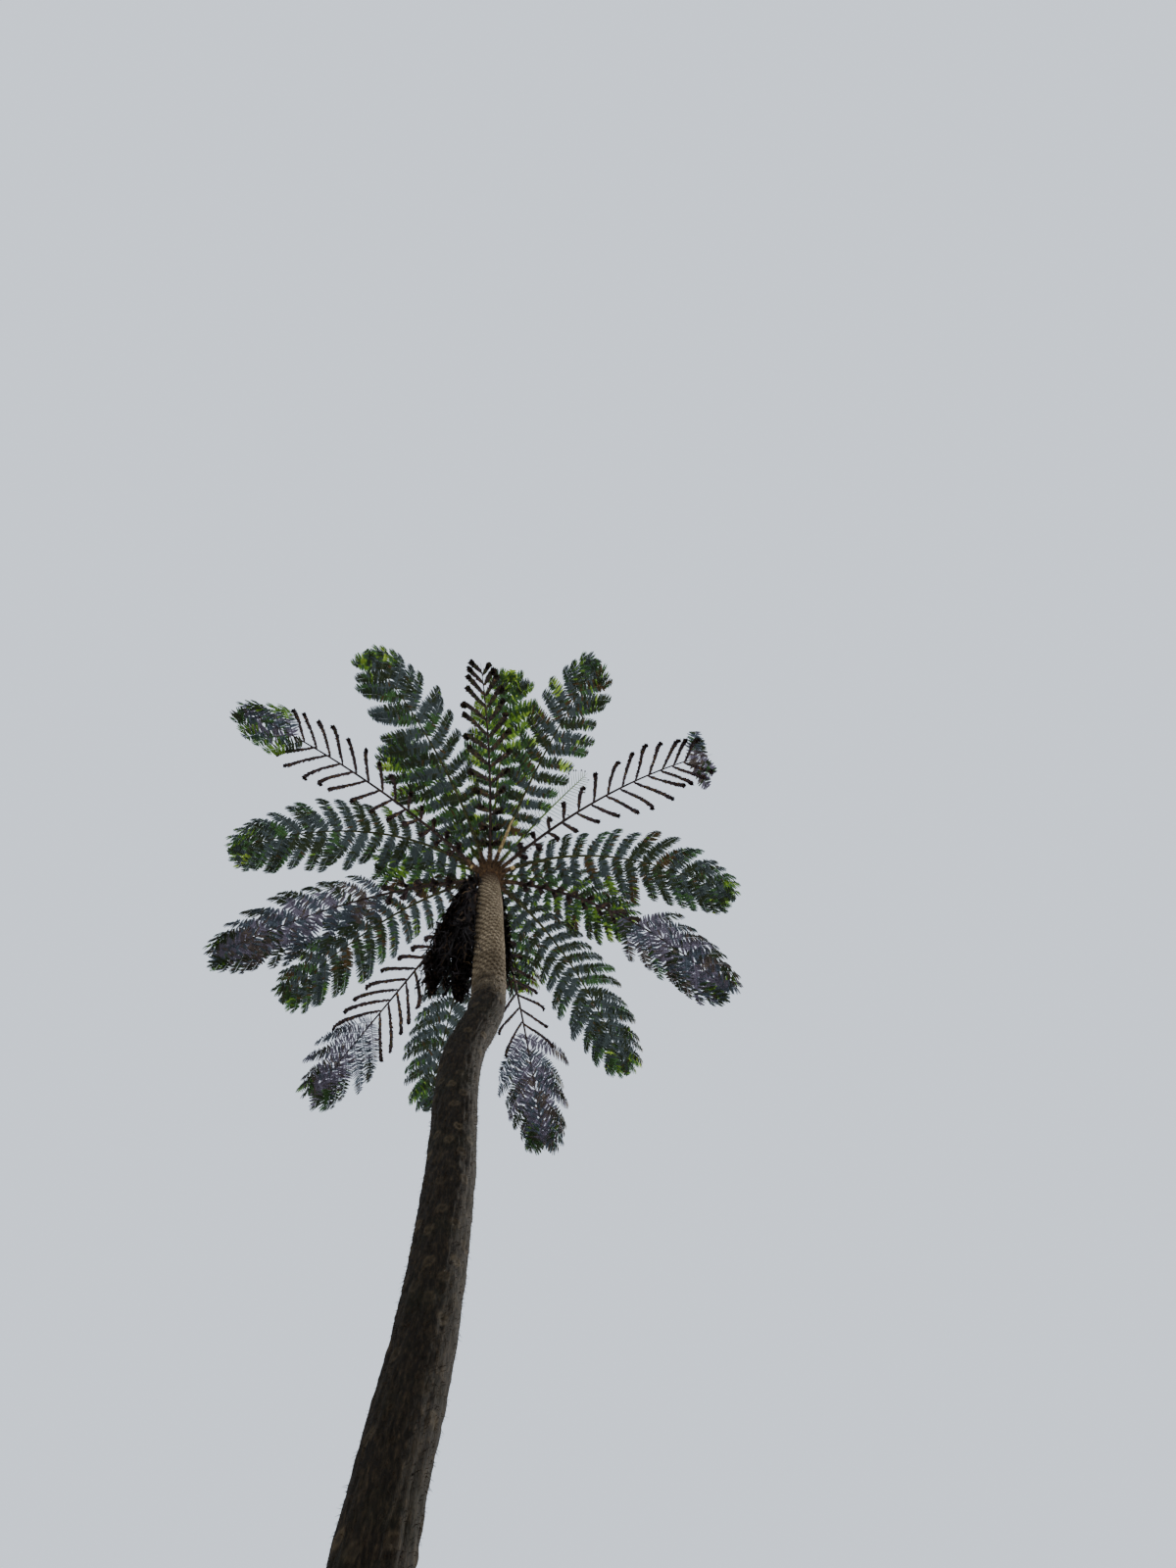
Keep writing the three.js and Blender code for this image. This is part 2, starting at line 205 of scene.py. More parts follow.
def add_piece(name, points, faces, finishes, finish_of_face=None, smooth=False):
    """A mesh object at the origin from arrays of points and of faces, all with as many corners."""
    mesh = bpy.data.meshes.new(name)
    mesh.vertices.add(len(points))
    mesh.vertices.foreach_set("co", np.asarray(points, np.float32).ravel())
    mesh.loops.add(faces.size)
    mesh.loops.foreach_set("vertex_index", faces.astype(np.int32).ravel())
    mesh.polygons.add(len(faces))
    mesh.polygons.foreach_set("loop_start", np.arange(0, faces.size, faces.shape[1], dtype=np.int32))
    for material in finishes:
        mesh.materials.append(material)
    if finish_of_face is not None:
        mesh.polygons.foreach_set("material_index", finish_of_face.astype(np.int32))
    mesh.polygons.foreach_set("use_smooth", np.full(len(faces), smooth))
    mesh.update(calc_edges=True)
    piece = bpy.data.objects.new(name, mesh)
    bpy.context.scene.collection.objects.link(piece)
    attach(piece, "root")
    return piece


FINE_FROM = 8.5
COARSE_ROW = 0.016
FINE_ROW = 0.006
TRUNK_COLUMNS = 84
LONG_STREAK = 9
SHORT_STREAK = 3
SHORT_STREAK_SHARE = 0.6

trunk_heights = np.concatenate([
    np.arange(0, FINE_FROM, COARSE_ROW), np.arange(FINE_FROM, TRUNK_TOP, FINE_ROW), [TRUNK_TOP],
])
trunk_rows = len(trunk_heights)
height_grid, angle_grid = skin_grid(trunk_heights, TRUNK_COLUMNS)
plain_radius = trunk_radius(height_grid, angle_grid)
scar_reach, scar_number = scar_distance(height_grid, angle_grid, plain_radius)
plaited_grid = smooth_step(height_grid, PLAITED_FROM, PLAITED_ABOVE)
scars_left = np.random.default_rng(2).random(scar_number.max() + 1)[np.maximum(scar_number, 0)] ** 2
scars_left = scars_left + (1 - scars_left) * plaited_grid
scar_ring = scars_left * np.exp(-(((scar_reach - 1) / RIM_WIDTH) ** 2))
scar_pit = scars_left * smooth_step(PIT_EDGE - scar_reach, 0, PIT_SLOPE)
fibres = streaks(trunk_rows, TRUNK_COLUMNS, LONG_STREAK, 3)
fibres = fibres + SHORT_STREAK_SHARE * streaks(trunk_rows, TRUNK_COLUMNS, SHORT_STREAK, 4)
bark_radius = plain_radius + between(SCAR_RIM, plaited_grid) * scar_ring
bark_radius -= between(SCAR_PIT, plaited_grid) * scar_pit
bark_radius += between(FIBRE_RELIEF, plaited_grid) * fibres
trunk_rings = around(height_grid, angle_grid, bark_radius)
trunk_points, trunk_faces = closed_skin(trunk_rings, middle_at(0.0), middle_at(TRUNK_TOP))


def srgb(red, green, blue):
    """A colour from 0 to 255 a channel as the shader's linear light, by the 2.4 power above its foot."""
    share = np.array([red, green, blue]) / 255
    linear = np.where(share <= 0.04045, share / 12.92, ((share + 0.055) / 1.055) ** 2.4)
    return (*linear, 1.0)


def new_finish(name, roughness):
    """A material of one Principled shader, and its node tree and shader for the piece's own nodes."""
    material = bpy.data.materials.new(name)
    material.use_nodes = True
    shader = material.node_tree.nodes["Principled BSDF"]
    shader.inputs["Roughness"].default_value = roughness
    shader.inputs["Specular IOR Level"].default_value = 0.08
    return material, material.node_tree, shader


def give(tree, socket, value):
    """Links a socket to the value where that is another node's output, and sets it otherwise."""
    if isinstance(value, bpy.types.NodeSocket):
        tree.links.new(value, socket)
    else:
        socket.default_value = value


def add_node(tree, kind, **values):
    """A shader node with each of its inputs that is named linked or set."""
    node = tree.nodes.new(kind)
    for name, value in values.items():
        give(tree, node.inputs[name.replace("_", " ")], value)
    return node


def noise_grey(tree, vector, scale, detail, roughness):
    """The grey of a noise that reads the vector."""
    values = {"Vector": vector, "Scale": scale, "Detail": detail, "Roughness": roughness}
    return add_node(tree, "ShaderNodeTexNoise", **values).outputs["Fac"]


def colour_ramp(tree, factor, *stops):
    """A colour that follows the factor from stop to stop, each a place and the red, green and blue there."""
    node = add_node(tree, "ShaderNodeValToRGB", Fac=factor)
    elements = node.color_ramp.elements
    while len(elements) < len(stops):
        elements.new(0.5)
    for element, (at, *colour) in zip(elements, stops):
        element.position = at
        element.color = srgb(*colour)
    return node.outputs["Color"]


def mixed(tree, factor, first, second):
    """A Mix node's colour, from the first to the second by the factor."""
    node = tree.nodes.new("ShaderNodeMix")
    node.data_type = "RGBA"
    for number, value in ((0, factor), (6, first), (7, second)):
        give(tree, node.inputs[number], value)
    return node.outputs[2]


def attribute_of(tree, name):
    """The number that the mesh holds at each point under the name."""
    node = tree.nodes.new("ShaderNodeAttribute")
    node.attribute_name = name
    return node.outputs["Fac"]


def relief(tree, shader, height, strength, distance):
    """Lets the height, as a bump, stand up from the shader's surface."""
    bump = add_node(tree, "ShaderNodeBump", Height=height, Strength=strength, Distance=distance)
    give(tree, shader.inputs["Normal"], bump.outputs["Normal"])


# The bark is dark and mossy below the plaited stretch, darkened further there as painted shade, and pale in
# it, and the change between them wanders up and down by the blotches
PALE_CHANGE = (9.45, 10.75)
PALE_CHANGE_WANDER = 1.7
# Where the bark turns dark brown under the head: partly its brown scales, partly painted shade under the
# crown
NECK_SCALES_AND_SHADE = (11.45, 11.9)
PALE_RIM = 0.6
PALE_PIT = 0.2
# How dark the scars' hollows are on the pale bark: painted shade in the hollows
PIT_SHADE = 0.85

bark, bark_tree, bark_shader = new_finish("fibrous_bark", 0.95)
bark_place = bark_tree.nodes.new("ShaderNodeTexCoord").outputs["Object"]
stretched = add_node(bark_tree, "ShaderNodeMapping", Vector=bark_place, Scale=(1, 1, 0.22))
fibre_grey = noise_grey(bark_tree, stretched.outputs["Vector"], 95.0, 5.0, 0.7)
blotch_grey = noise_grey(bark_tree, bark_place, 5.5, 4.0, 0.6)
# The lower bark's own dark brown, darkened further as painted shade
low_bark_and_shade = colour_ramp(
    bark_tree, fibre_grey, (0.30, 9, 7, 5), (0.48, 21, 17, 12), (0.62, 38, 31, 22), (0.80, 66, 54, 39)
)
moss = colour_ramp(bark_tree, blotch_grey, (0.50, 0, 0, 0), (0.72, 150, 150, 150))
low_bark_and_shade = mixed(bark_tree, moss, low_bark_and_shade, srgb(20, 24, 13))
low_bark_and_shade = mixed(bark_tree, attribute_of(bark_tree, "scar"), low_bark_and_shade, srgb(80, 69, 52))
high_bark = colour_ramp(
    bark_tree, fibre_grey,
    (0.30, 62, 53, 43), (0.50, 114, 101, 82), (0.66, 160, 146, 122), (0.82, 204, 190, 162),
)
# Painted shade darkens the scars' hollows on the pale bark
high_bark = mixed(bark_tree, attribute_of(bark_tree, "pit"), high_bark, srgb(40, 31, 22))
shaded = colour_ramp(bark_tree, blotch_grey, (0.36, 170, 170, 170), (0.58, 0, 0, 0))
high_bark = mixed(bark_tree, shaded, high_bark, srgb(74, 62, 44))
bark_height = add_node(bark_tree, "ShaderNodeSeparateXYZ", Vector=bark_place).outputs["Z"]
# The dark brown under the head is partly the scales' own colour and partly painted shade under the crown
neck_scales_and_shade_share = add_node(
    bark_tree, "ShaderNodeMapRange", Value=bark_height, From_Min=NECK_SCALES_AND_SHADE[0], From_Max=NECK_SCALES_AND_SHADE[1]
)
high_bark = mixed(bark_tree, neck_scales_and_shade_share.outputs["Result"], high_bark, srgb(52, 37, 26))
wandering = bark_tree.nodes.new("ShaderNodeMath")
wandering.operation = "MULTIPLY_ADD"
for number, value in enumerate((blotch_grey, PALE_CHANGE_WANDER, bark_height)):
    give(bark_tree, wandering.inputs[number], value)
pale_share = add_node(
    bark_tree, "ShaderNodeMapRange",
    Value=wandering.outputs["Value"], From_Min=PALE_CHANGE[0], From_Max=PALE_CHANGE[1],
)
bark_colour = mixed(bark_tree, pale_share.outputs["Result"], low_bark_and_shade, high_bark)
give(bark_tree, bark_shader.inputs["Base Color"], bark_colour)
relief(bark_tree, bark_shader, fibre_grey, 0.7, 0.006)

trunk = add_piece("trunk_bark", trunk_points, trunk_faces, [bark], smooth=True)
pale_scars = PALE_RIM * scar_ring + PALE_PIT * scar_pit
for attribute, values in (("scar", pale_scars), ("pit", PIT_SHADE * scar_pit)):
    layer = trunk.data.attributes.new(attribute, "FLOAT", "POINT")
    layer.data.foreach_set("value", np.concatenate([values.ravel(), [0, 0]]).astype(np.float32))
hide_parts("trunk")


# Root hairs and torn fibres stand off the bark from the foot up to where the scars are packed. Each is a
# thin dark thread that grew out of the trunk and droops.

FIBRE_COUNT = 26000
FIBRE_HEIGHTS = (0.05, 9.4)
FIBRE_LENGTHS = (0.007, 0.024)
FIBRE_THICKNESS = 0.0014
FIBRE_SUNK = 0.004
FIBRE_SPREAD = 1.9
FIBRE_DROOP = 0.8
LEAST_HEIGHT = 0.002

# A thorn's faces: three sides that meet at its tip, and its foot
thorn_faces = np.array([(0, 1, 3), (1, 2, 3), (2, 0, 3), (0, 2, 1)])


def unit(vectors):
    """The vectors at a length of 1."""
    return vectors / np.linalg.norm(vectors, axis=-1, keepdims=True)


def wobble(dice, shape, spread):
    """Random numbers round 0, as far as half the spread to either side."""
    return spread * (dice.random(shape) - 0.5)


def towards(turn, side, other):
    """The way at a turn from the side towards the other, by its cosine and its sine."""
    return np.cos(turn) * side + np.sin(turn) * other


def copies(faces, count, points_each):
    """The faces of one small form for count of them, with the points of each after those before it."""
    return (np.arange(count)[:, None, None] * points_each + faces[None]).reshape(-1, faces.shape[1])


def thorns(roots, ways, lengths, thickness, droop):
    """Thin three-sided spikes: each starts as a small triangle across its way, and its tip has gone
    its length along the way and sunk by the droop's share of that."""
    side = unit(np.cross(ways, np.roll(ways, 1, axis=-1) + 0.3))
    other = np.cross(ways, side)
    corners = [roots + thickness * towards(turn, side, other) for turn in (0, 2 * np.pi / 3, 4 * np.pi / 3)]
    tips = roots + lengths[:, None] * ways
    tips[:, 2] -= droop * lengths
    points = np.stack([*corners, tips], axis=1).reshape(-1, 3)
    return points, copies(thorn_faces, len(roots), 4)


dice = np.random.default_rng(11)
fibre_heights = between(FIBRE_HEIGHTS, dice.random(FIBRE_COUNT))
fibre_angles = 2 * np.pi * dice.random(FIBRE_COUNT)
fibre_reach = trunk_radius(fibre_heights, fibre_angles) - FIBRE_SUNK
fibre_roots = around(fibre_heights, fibre_angles, fibre_reach)
fibre_ways = unit(level_way(fibre_angles) + wobble(dice, (FIBRE_COUNT, 3), FIBRE_SPREAD))
fibre_lengths = between(FIBRE_LENGTHS, dice.random(FIBRE_COUNT) ** 3)
fibre_points, fibre_faces = thorns(fibre_roots, fibre_ways, fibre_lengths, FIBRE_THICKNESS, FIBRE_DROOP)
fibre_points[:, 2] = np.maximum(fibre_points[:, 2], LEAST_HEIGHT)


def plain_finish(name, colour, roughness=0.85):
    """A material of one even colour, for things so small that they are dealt out by colour."""
    material, _, shader = new_finish(name, roughness)
    shader.inputs["Base Color"].default_value = srgb(*colour)
    return material


root_hair = plain_finish("root_hair", (40, 31, 22), 0.95)
add_piece("trunk_fibres", fibre_points, fibre_faces, [root_hair])


# The head is the blunt growing tip on top of the trunk, packed with golden brown scales. The stipes of
# all the fronds stand round it in tiers, and it is grown together with the trunk below.

SEAT_GAP = 0.0004
HEAD_SEAT = TRUNK_TOP + SEAT_GAP
HEAD_PROFILE = np.array([(0, 0.086), (0.09, 0.104), (0.23, 0.098), (0.35, 0.072), (0.45, 0.036), (0.50, 0)])
HEAD_ROWS = 54
HEAD_COLUMNS = 72
HEAD_ROW_CROWDING = 0.9
KNOBS_ROUND = 9
KNOB_TWIST = 60
KNOB_HEIGHT = 0.006
KNOBS_FADE_UNDER = 0.05
HEAD_SCALES = 2600
SCALE_HEIGHTS = (0.02, 0.49)
SCALE_SUNK = 0.003
SCALE_RISE = 1.1
SCALE_SPREAD = 0.7
SCALE_LENGTHS = (0.025, 0.070)
SCALE_THICKNESS = 0.0022
SCALE_DROOP = 0.1


def head_radius(height):
    """The head's radius at a height above the ground, straight between the corners of its profile."""
    return np.interp(height - HEAD_SEAT, HEAD_PROFILE[:, 0], HEAD_PROFILE[:, 1])


def noisy_finish(name, roughness, scale, noise_roughness, strength, distance, *stops):
    """A skin whose noise picks its colour between the stops and stands up as relief."""
    material, tree, shader = new_finish(name, roughness)
    coordinates = tree.nodes.new("ShaderNodeTexCoord")
    grey = noise_grey(tree, coordinates.outputs["Object"], scale, 4.0, noise_roughness)
    give(tree, shader.inputs["Base Color"], colour_ramp(tree, grey, *stops))
    relief(tree, shader, grey, strength, distance)
    return material


head_heights = HEAD_SEAT + HEAD_PROFILE[-1, 0] * np.linspace(0, 1, HEAD_ROWS) ** HEAD_ROW_CROWDING
head_height_grid, head_angle_grid = skin_grid(head_heights, HEAD_COLUMNS)
head_knobs = KNOB_HEIGHT * np.cos(KNOBS_ROUND * head_angle_grid + KNOB_TWIST * (head_height_grid - HEAD_SEAT))
head_reach = head_radius(head_height_grid)
head_reach = head_reach + head_knobs * np.minimum(1, head_reach / KNOBS_FADE_UNDER)
head_rings = around(head_height_grid, head_angle_grid, head_reach)
head_points, head_faces = closed_skin(head_rings[:-1], middle_at(HEAD_SEAT), head_rings[-1, 0])
head_finish = noisy_finish(
    "scaly_head", 0.9, 60.0, 0.65, 0.8, 0.006, (0.30, 26, 19, 14), (0.50, 62, 46, 33), (0.70, 104, 80, 54)
)
head = add_piece("head_skin", head_points, head_faces, [head_finish], smooth=True)
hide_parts("crown_head")

dice = np.random.default_rng(12)
scale_heights = HEAD_SEAT + between(SCALE_HEIGHTS, dice.random(HEAD_SCALES))
scale_angles = 2 * np.pi * dice.random(HEAD_SCALES)
scale_roots = around(scale_heights, scale_angles, head_radius(scale_heights) - SCALE_SUNK)
scale_ways = level_way(scale_angles) + [0, 0, SCALE_RISE] + wobble(dice, (HEAD_SCALES, 3), SCALE_SPREAD)
scale_lengths = between(SCALE_LENGTHS, dice.random(HEAD_SCALES))
scale_points, scale_faces = thorns(
    scale_roots, unit(scale_ways), scale_lengths, SCALE_THICKNESS, SCALE_DROOP
)
scale_finishes = [plain_finish("golden_scale", (78, 60, 42)), plain_finish("brown_scale", (44, 34, 26))]
scale_index = np.repeat(dice.integers(0, 2, HEAD_SCALES), len(thorn_faces))
add_piece("head_scales", scale_points, scale_faces, scale_finishes, scale_index)


# The fronds' stipes and rachises are smooth tapering limbs, one to a frond, brown and scaly where they
# leave the head. Each rises steeply, arches over and hangs at its tip. The dead ones hang straight down.

TIERS = {"dead": 12.010, "old": 12.065, "middle": 12.175, "young": 12.290}
FROND_COLUMNS = ("name", "tier", "heading", "rise", "arch", "swing", "length", "withered", "spread")
FROND_ROWS = [
    ("living_frond_1", "middle", 191, 49, 75, -38, 2.66, 0, 1),
    ("living_frond_2", "middle", 143, 48, 69, -15, 2.62, 0, 1),
    ("living_frond_3", "middle", 96, 42, 64, -2, 2.60, 0, 1),
    ("living_frond_4", "middle", 41, 48, 70, 16, 2.68, 0, 1),
    ("living_frond_5", "middle", 342, 54, 83, 36, 2.60, 0, 1),
    ("living_frond_6", "middle", 285, 52, 61, 7, 2.29, 0, 0.95),
    ("living_frond_7", "middle", 236, 49, 67, -13, 2.39, 0, 1),
    ("withered_frond_1", "old", 156, 39, 68, -8, 2.74, 0.4, 1.08),
    ("withered_frond_2", "old", 114, 35, 58, 8, 2.79, 0.6, 1.12),
    ("withered_frond_3", "old", 69, 35, 63, 2, 2.74, 0.55, 1.1),
    ("withered_frond_4", "old", 8, 42, 76, 22, 2.62, 0.5, 1.05),
    ("withered_frond_5", "old", 314, 32, 84, 14, 2.26, 0.85, 1),
    ("withered_frond_6", "old", 261, 45, 69, -7, 1.88, 1, 0.85),
    ("withered_frond_7", "old", 205, 38, 67, -4, 2.70, 0.75, 0.9),
    ("young_frond_1", "young", 263, 64, 60, 6, 2.18, 0, 0.95),
    ("young_frond_2", "young", 214, 62, 56, 5, 1.78, 0, 0.85),
    ("young_frond_3", "young", 166, 64, 60, -4, 1.38, 0, 0.75),
    ("young_frond_4", "young", 69, 62, 60, 1, 1.76, 0, 0.85),
    ("young_frond_5", "young", 17, 66, 62, 8, 2.06, 0, 0.95),
    ("unfurling_frond", "young", 316, 69, 30, -3, 1.92, 0, 1),
    ("dead_frond_1", "dead", 180, -78, 11, -45, 2.75, 1, 1),
    ("dead_frond_2", "dead", 156, -73, 17, -8, 2.90, 1, 1),
    ("dead_frond_3", "dead", 118, -70, 24, 45, 2.88, 1, 1),
    ("dead_frond_4", "dead", 44, -72, 17.5, -45, 2.40, 1, 0.7),
]
ARCH_POWER = 1.4
HANGING_POWER = 0.25
STIPE_RADIUS = 0.017
RACHIS_TIP_RADIUS = 0.004
TAPER_POWER = 1.15
STIPE_ROOT = 0.4
LINE_STEPS = 96
STEM_ROWS = 73
STEM_ROW_CROWDING = 1.15
STEM_SIDES = 9
SWOLLEN_BASE = 0.003
SWOLLEN_REACH = 0.035
THINNED_FROM = 0.88
THINNED_BY = 0.65
SCALY_SHARE = 0.05
PALE_SHARE = 0.2
PALE_UNEVENNESS = 0.04
PALE_WAVE = 5.0
TAN_STEMS = ("living_frond_6",)
UP = np.array([0.0, 0.0, 1.0])
DOWN = -UP


def direction(frond, share):
    """A slope that falls from the rise by the arch times a power of the share, and a heading that
    swings evenly, as a vector of length 1."""
    slope = np.radians(frond["rise"] - frond["arch"] * share ** frond["power"])
    turn = np.radians(frond["heading"] + frond["swing"] * share)
    return np.stack([np.cos(slope) * np.cos(turn), np.cos(slope) * np.sin(turn), np.sin(slope)], axis=-1)


def rightwards(frond, share):
    """The level way to the right of the rachis, a quarter turn from its heading."""
    return level_way(np.radians(frond["heading"] + frond["swing"] * share - 90))


def place(frond, share):
    """Where the rachis is at a share of its length, between the points of its added-up steps."""
    along = np.linspace(0, 1, LINE_STEPS + 1)
    return np.stack([np.interp(share, along, frond["line"][:, axis]) for axis in range(3)], axis=-1)


def grown(row, power):
    """A frond from its row: its line starts on the head's face and adds up small steps of direction."""
    frond = dict(zip(FROND_COLUMNS, row))
    frond["power"] = power
    turn = np.radians(frond["heading"])
    frond["left"] = level_way(turn + np.pi / 2)
    seat = TIERS[frond["tier"]]
    start = around(seat, turn, head_radius(seat))
    middles = (np.arange(LINE_STEPS) + 0.5) / LINE_STEPS
    steps = direction(frond, middles) * frond["length"] / LINE_STEPS
    frond["line"] = start + np.vstack([np.zeros(3), np.cumsum(steps, axis=0)])
    return frond


def from_within(frond, share):
    """The rachis at the shares, after one more point that is sunk in the head."""
    path = place(frond, share)
    sunk = path[0] - STIPE_ROOT * head_radius(TIERS[frond["tier"]]) * direction(frond, 0.0)
    return np.vstack([sunk, path])


def swelling(share):
    """How much thicker a stipe is where it leaves the head, fading by the power of e."""
    return SWOLLEN_BASE * np.exp(-share / SWOLLEN_REACH)


def tubes(paths, radii, references, sides):
    """Round limbs: rings of points stand across each path, turned so that none of them twists about
    the reference, and both ends are closed flat. Paths is an array of limb, row and axis."""
    ways = unit(np.gradient(paths, axis=1))
    right = unit(np.cross(ways, references))
    over = np.cross(right, ways)
    turns = np.arange(sides) * 2 * np.pi / sides
    rings = right[:, :, None] * np.cos(turns)[:, None] - over[:, :, None] * np.sin(turns)[:, None]
    points = paths[:, :, None] + radii[:, :, None, None] * rings
    limbs, rows = paths.shape[:2]
    body = ring_faces(rows, sides)
    fan = np.stack([np.zeros(sides - 2, int), np.arange(1, sides - 1), np.arange(2, sides)], axis=-1)
    one = np.vstack([body, fan[:, ::-1], fan + (rows - 1) * sides])
    return points.reshape(-1, 3), copies(one, limbs, rows * sides)


def stem_of(frond, finish):
    """A frond's stipe and rachis, swollen at the head and drawn out thin at the tip. Its faces have the
    first finish next to the head, then the one given up to the end of its pale stretch, then the second."""
    share = np.linspace(0, 1, STEM_ROWS) ** STEM_ROW_CROWDING
    radius = RACHIS_TIP_RADIUS + (STIPE_RADIUS - RACHIS_TIP_RADIUS) * (1 - share) ** TAPER_POWER
    radius = (radius + swelling(share)) * (1 - THINNED_BY * smooth_step(share, THINNED_FROM, 1))
    radius = np.concatenate([[radius[0]], radius])
    points, faces = tubes(from_within(frond, share)[None], radius[None], frond["left"], STEM_SIDES)
    row, column = np.divmod(faces.min(axis=1), STEM_SIDES)
    row_share = np.concatenate([[0], share])[row]
    finish = np.where(row_share < PALE_SHARE + PALE_UNEVENNESS * np.sin(PALE_WAVE * column), finish, 1)
    return points, faces, np.where(row_share < SCALY_SHARE, 0, finish)


def joined(parts):
    """Several (points, faces, finish of each face) as one, with the faces counted on."""
    starts = np.cumsum([0] + [len(points) for points, _, _ in parts[:-1]])
    points = np.vstack([part[0] for part in parts])
    faces = np.vstack([part[1] + start for part, start in zip(parts, starts)])
    return points, faces, np.concatenate([part[2] for part in parts])


def add_joined(name, parts, finishes, smooth=False):
    """Several parts, joined, as one piece."""
    points, faces, finish_of_face = joined(parts)
    return add_piece(name, points, faces, finishes, finish_of_face, smooth)


fronds = [grown(row, HANGING_POWER if row[1] == "dead" else ARCH_POWER) for row in FROND_ROWS]


def group_of(start):
    """The fronds whose names start with these letters."""
    return [frond for frond in fronds if frond["name"].startswith(start)]


def stem_finish(name, dark, middle, pale):
    """A stem's skin: noise from dark to pale, with a little relief."""
    return noisy_finish(name, 0.7, 38.0, 0.6, 0.4, 0.002, (0.32, *dark), (0.5, *middle), (0.68, *pale))


scaly_stipe = stem_finish("scaly_stipe", (30, 22, 17), (58, 44, 33), (96, 76, 54))
tan_rachis = stem_finish("tan_rachis", (110, 92, 62), (150, 130, 92), (188, 168, 124))
rachis_finishes = {
    "living": stem_finish("green_rachis", (30, 32, 22), (48, 50, 31), (76, 77, 47)),
    "young": stem_finish("fresh_rachis", (56, 74, 30), (84, 104, 44), (120, 136, 70)),
    "withered": stem_finish("dry_rachis", (22, 17, 17), (38, 30, 29), (62, 50, 45)),
    "dead": stem_finish("dead_rachis", (10, 8, 7), (19, 15, 13), (34, 27, 22)),
}
for group, finish in rachis_finishes.items():
    members = group_of(group)
    parts = [stem_of(frond, 2 if frond["name"] in TAN_STEMS else 1) for frond in members]
    stems = add_joined(f"{group}_stems", parts, [scaly_stipe, finish, tan_rachis], smooth=True)
    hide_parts(*[frond["name"] for frond in members])


# Pinnae stand in pairs along each rachis, each with a thin midrib that leaves it in the frond's plane and
# sags. On living and young fronds the midribs carry two rows of leaflets, which are soft, lobed and dealt out
# here by finish: slate beneath the crown, the undersides' grey-green darkened as painted shade, green at the
# tips, their own green brightened as painted light through the leaves, some golden brown.

PAIR_SPACING = 0.150
FIRST_PINNA = 0.11
LAST_PINNA = 0.975
CROWDING = 1.25
STAGGER = 0.005
PLACE_UNEVENNESS = 0.004
BASE_ANGLE = 76
TIP_ANGLE = 44
ANGLE_UNEVENNESS = 5
FIRST_LENGTH = 0.42
LENGTH_GAIN = 1.15
TIP_FALL = 5
TIP_BLUNTNESS = 0.72
SHORTEST = 0.2
LENGTH_UNEVENNESS = 0.12
SAG_POWER = 1.8
SAG_UNEVENNESS = 0.3
WANDER_WAVE = 5
HOOK_POWER = 6
HOOK_INWARDS = 0.9
HOOK_DOWN = 0.4
HOOK_SIDEWAYS = (-0.5, 0.8)
LIVING_LENGTH = 0.50
# A habit is how far pinnae sag, how hard their ends curl and how far they wander
LIVING_HABIT = (2.2, 0.3, 0.10)
LIVING_MIDRIB = (0.0032, 0.0016)
MIDRIB_STEPS = 14
MIDRIB_SIDES = 3
NARROWING = (0.65, 1.0)


def length_share(u):
    """Pinnae are short above the stipe, longest past the frond's middle, and short again at its tip:
    a straight gain up to 1, times a fall by the fifth power, blunted."""
    return np.minimum(1, FIRST_LENGTH + LENGTH_GAIN * u) * (1 - u**TIP_FALL) ** TIP_BLUNTNESS


def pairs_along(frond, spacing, dice):
    """Where a frond's pinnae stand, on both sides of each pair, as rows of their order u, their side and
    their share of the rachis."""
    pairs = round(frond["length"] / spacing)
    u = np.repeat(np.arange(pairs) / pairs, 2)
    side = np.tile([-1.0, 1.0], pairs)
    share = FIRST_PINNA + (LAST_PINNA - FIRST_PINNA) * (1 - (1 - u) ** CROWDING)
    return np.stack([u, side, share + side * STAGGER + wobble(dice, len(u), PLACE_UNEVENNESS)])


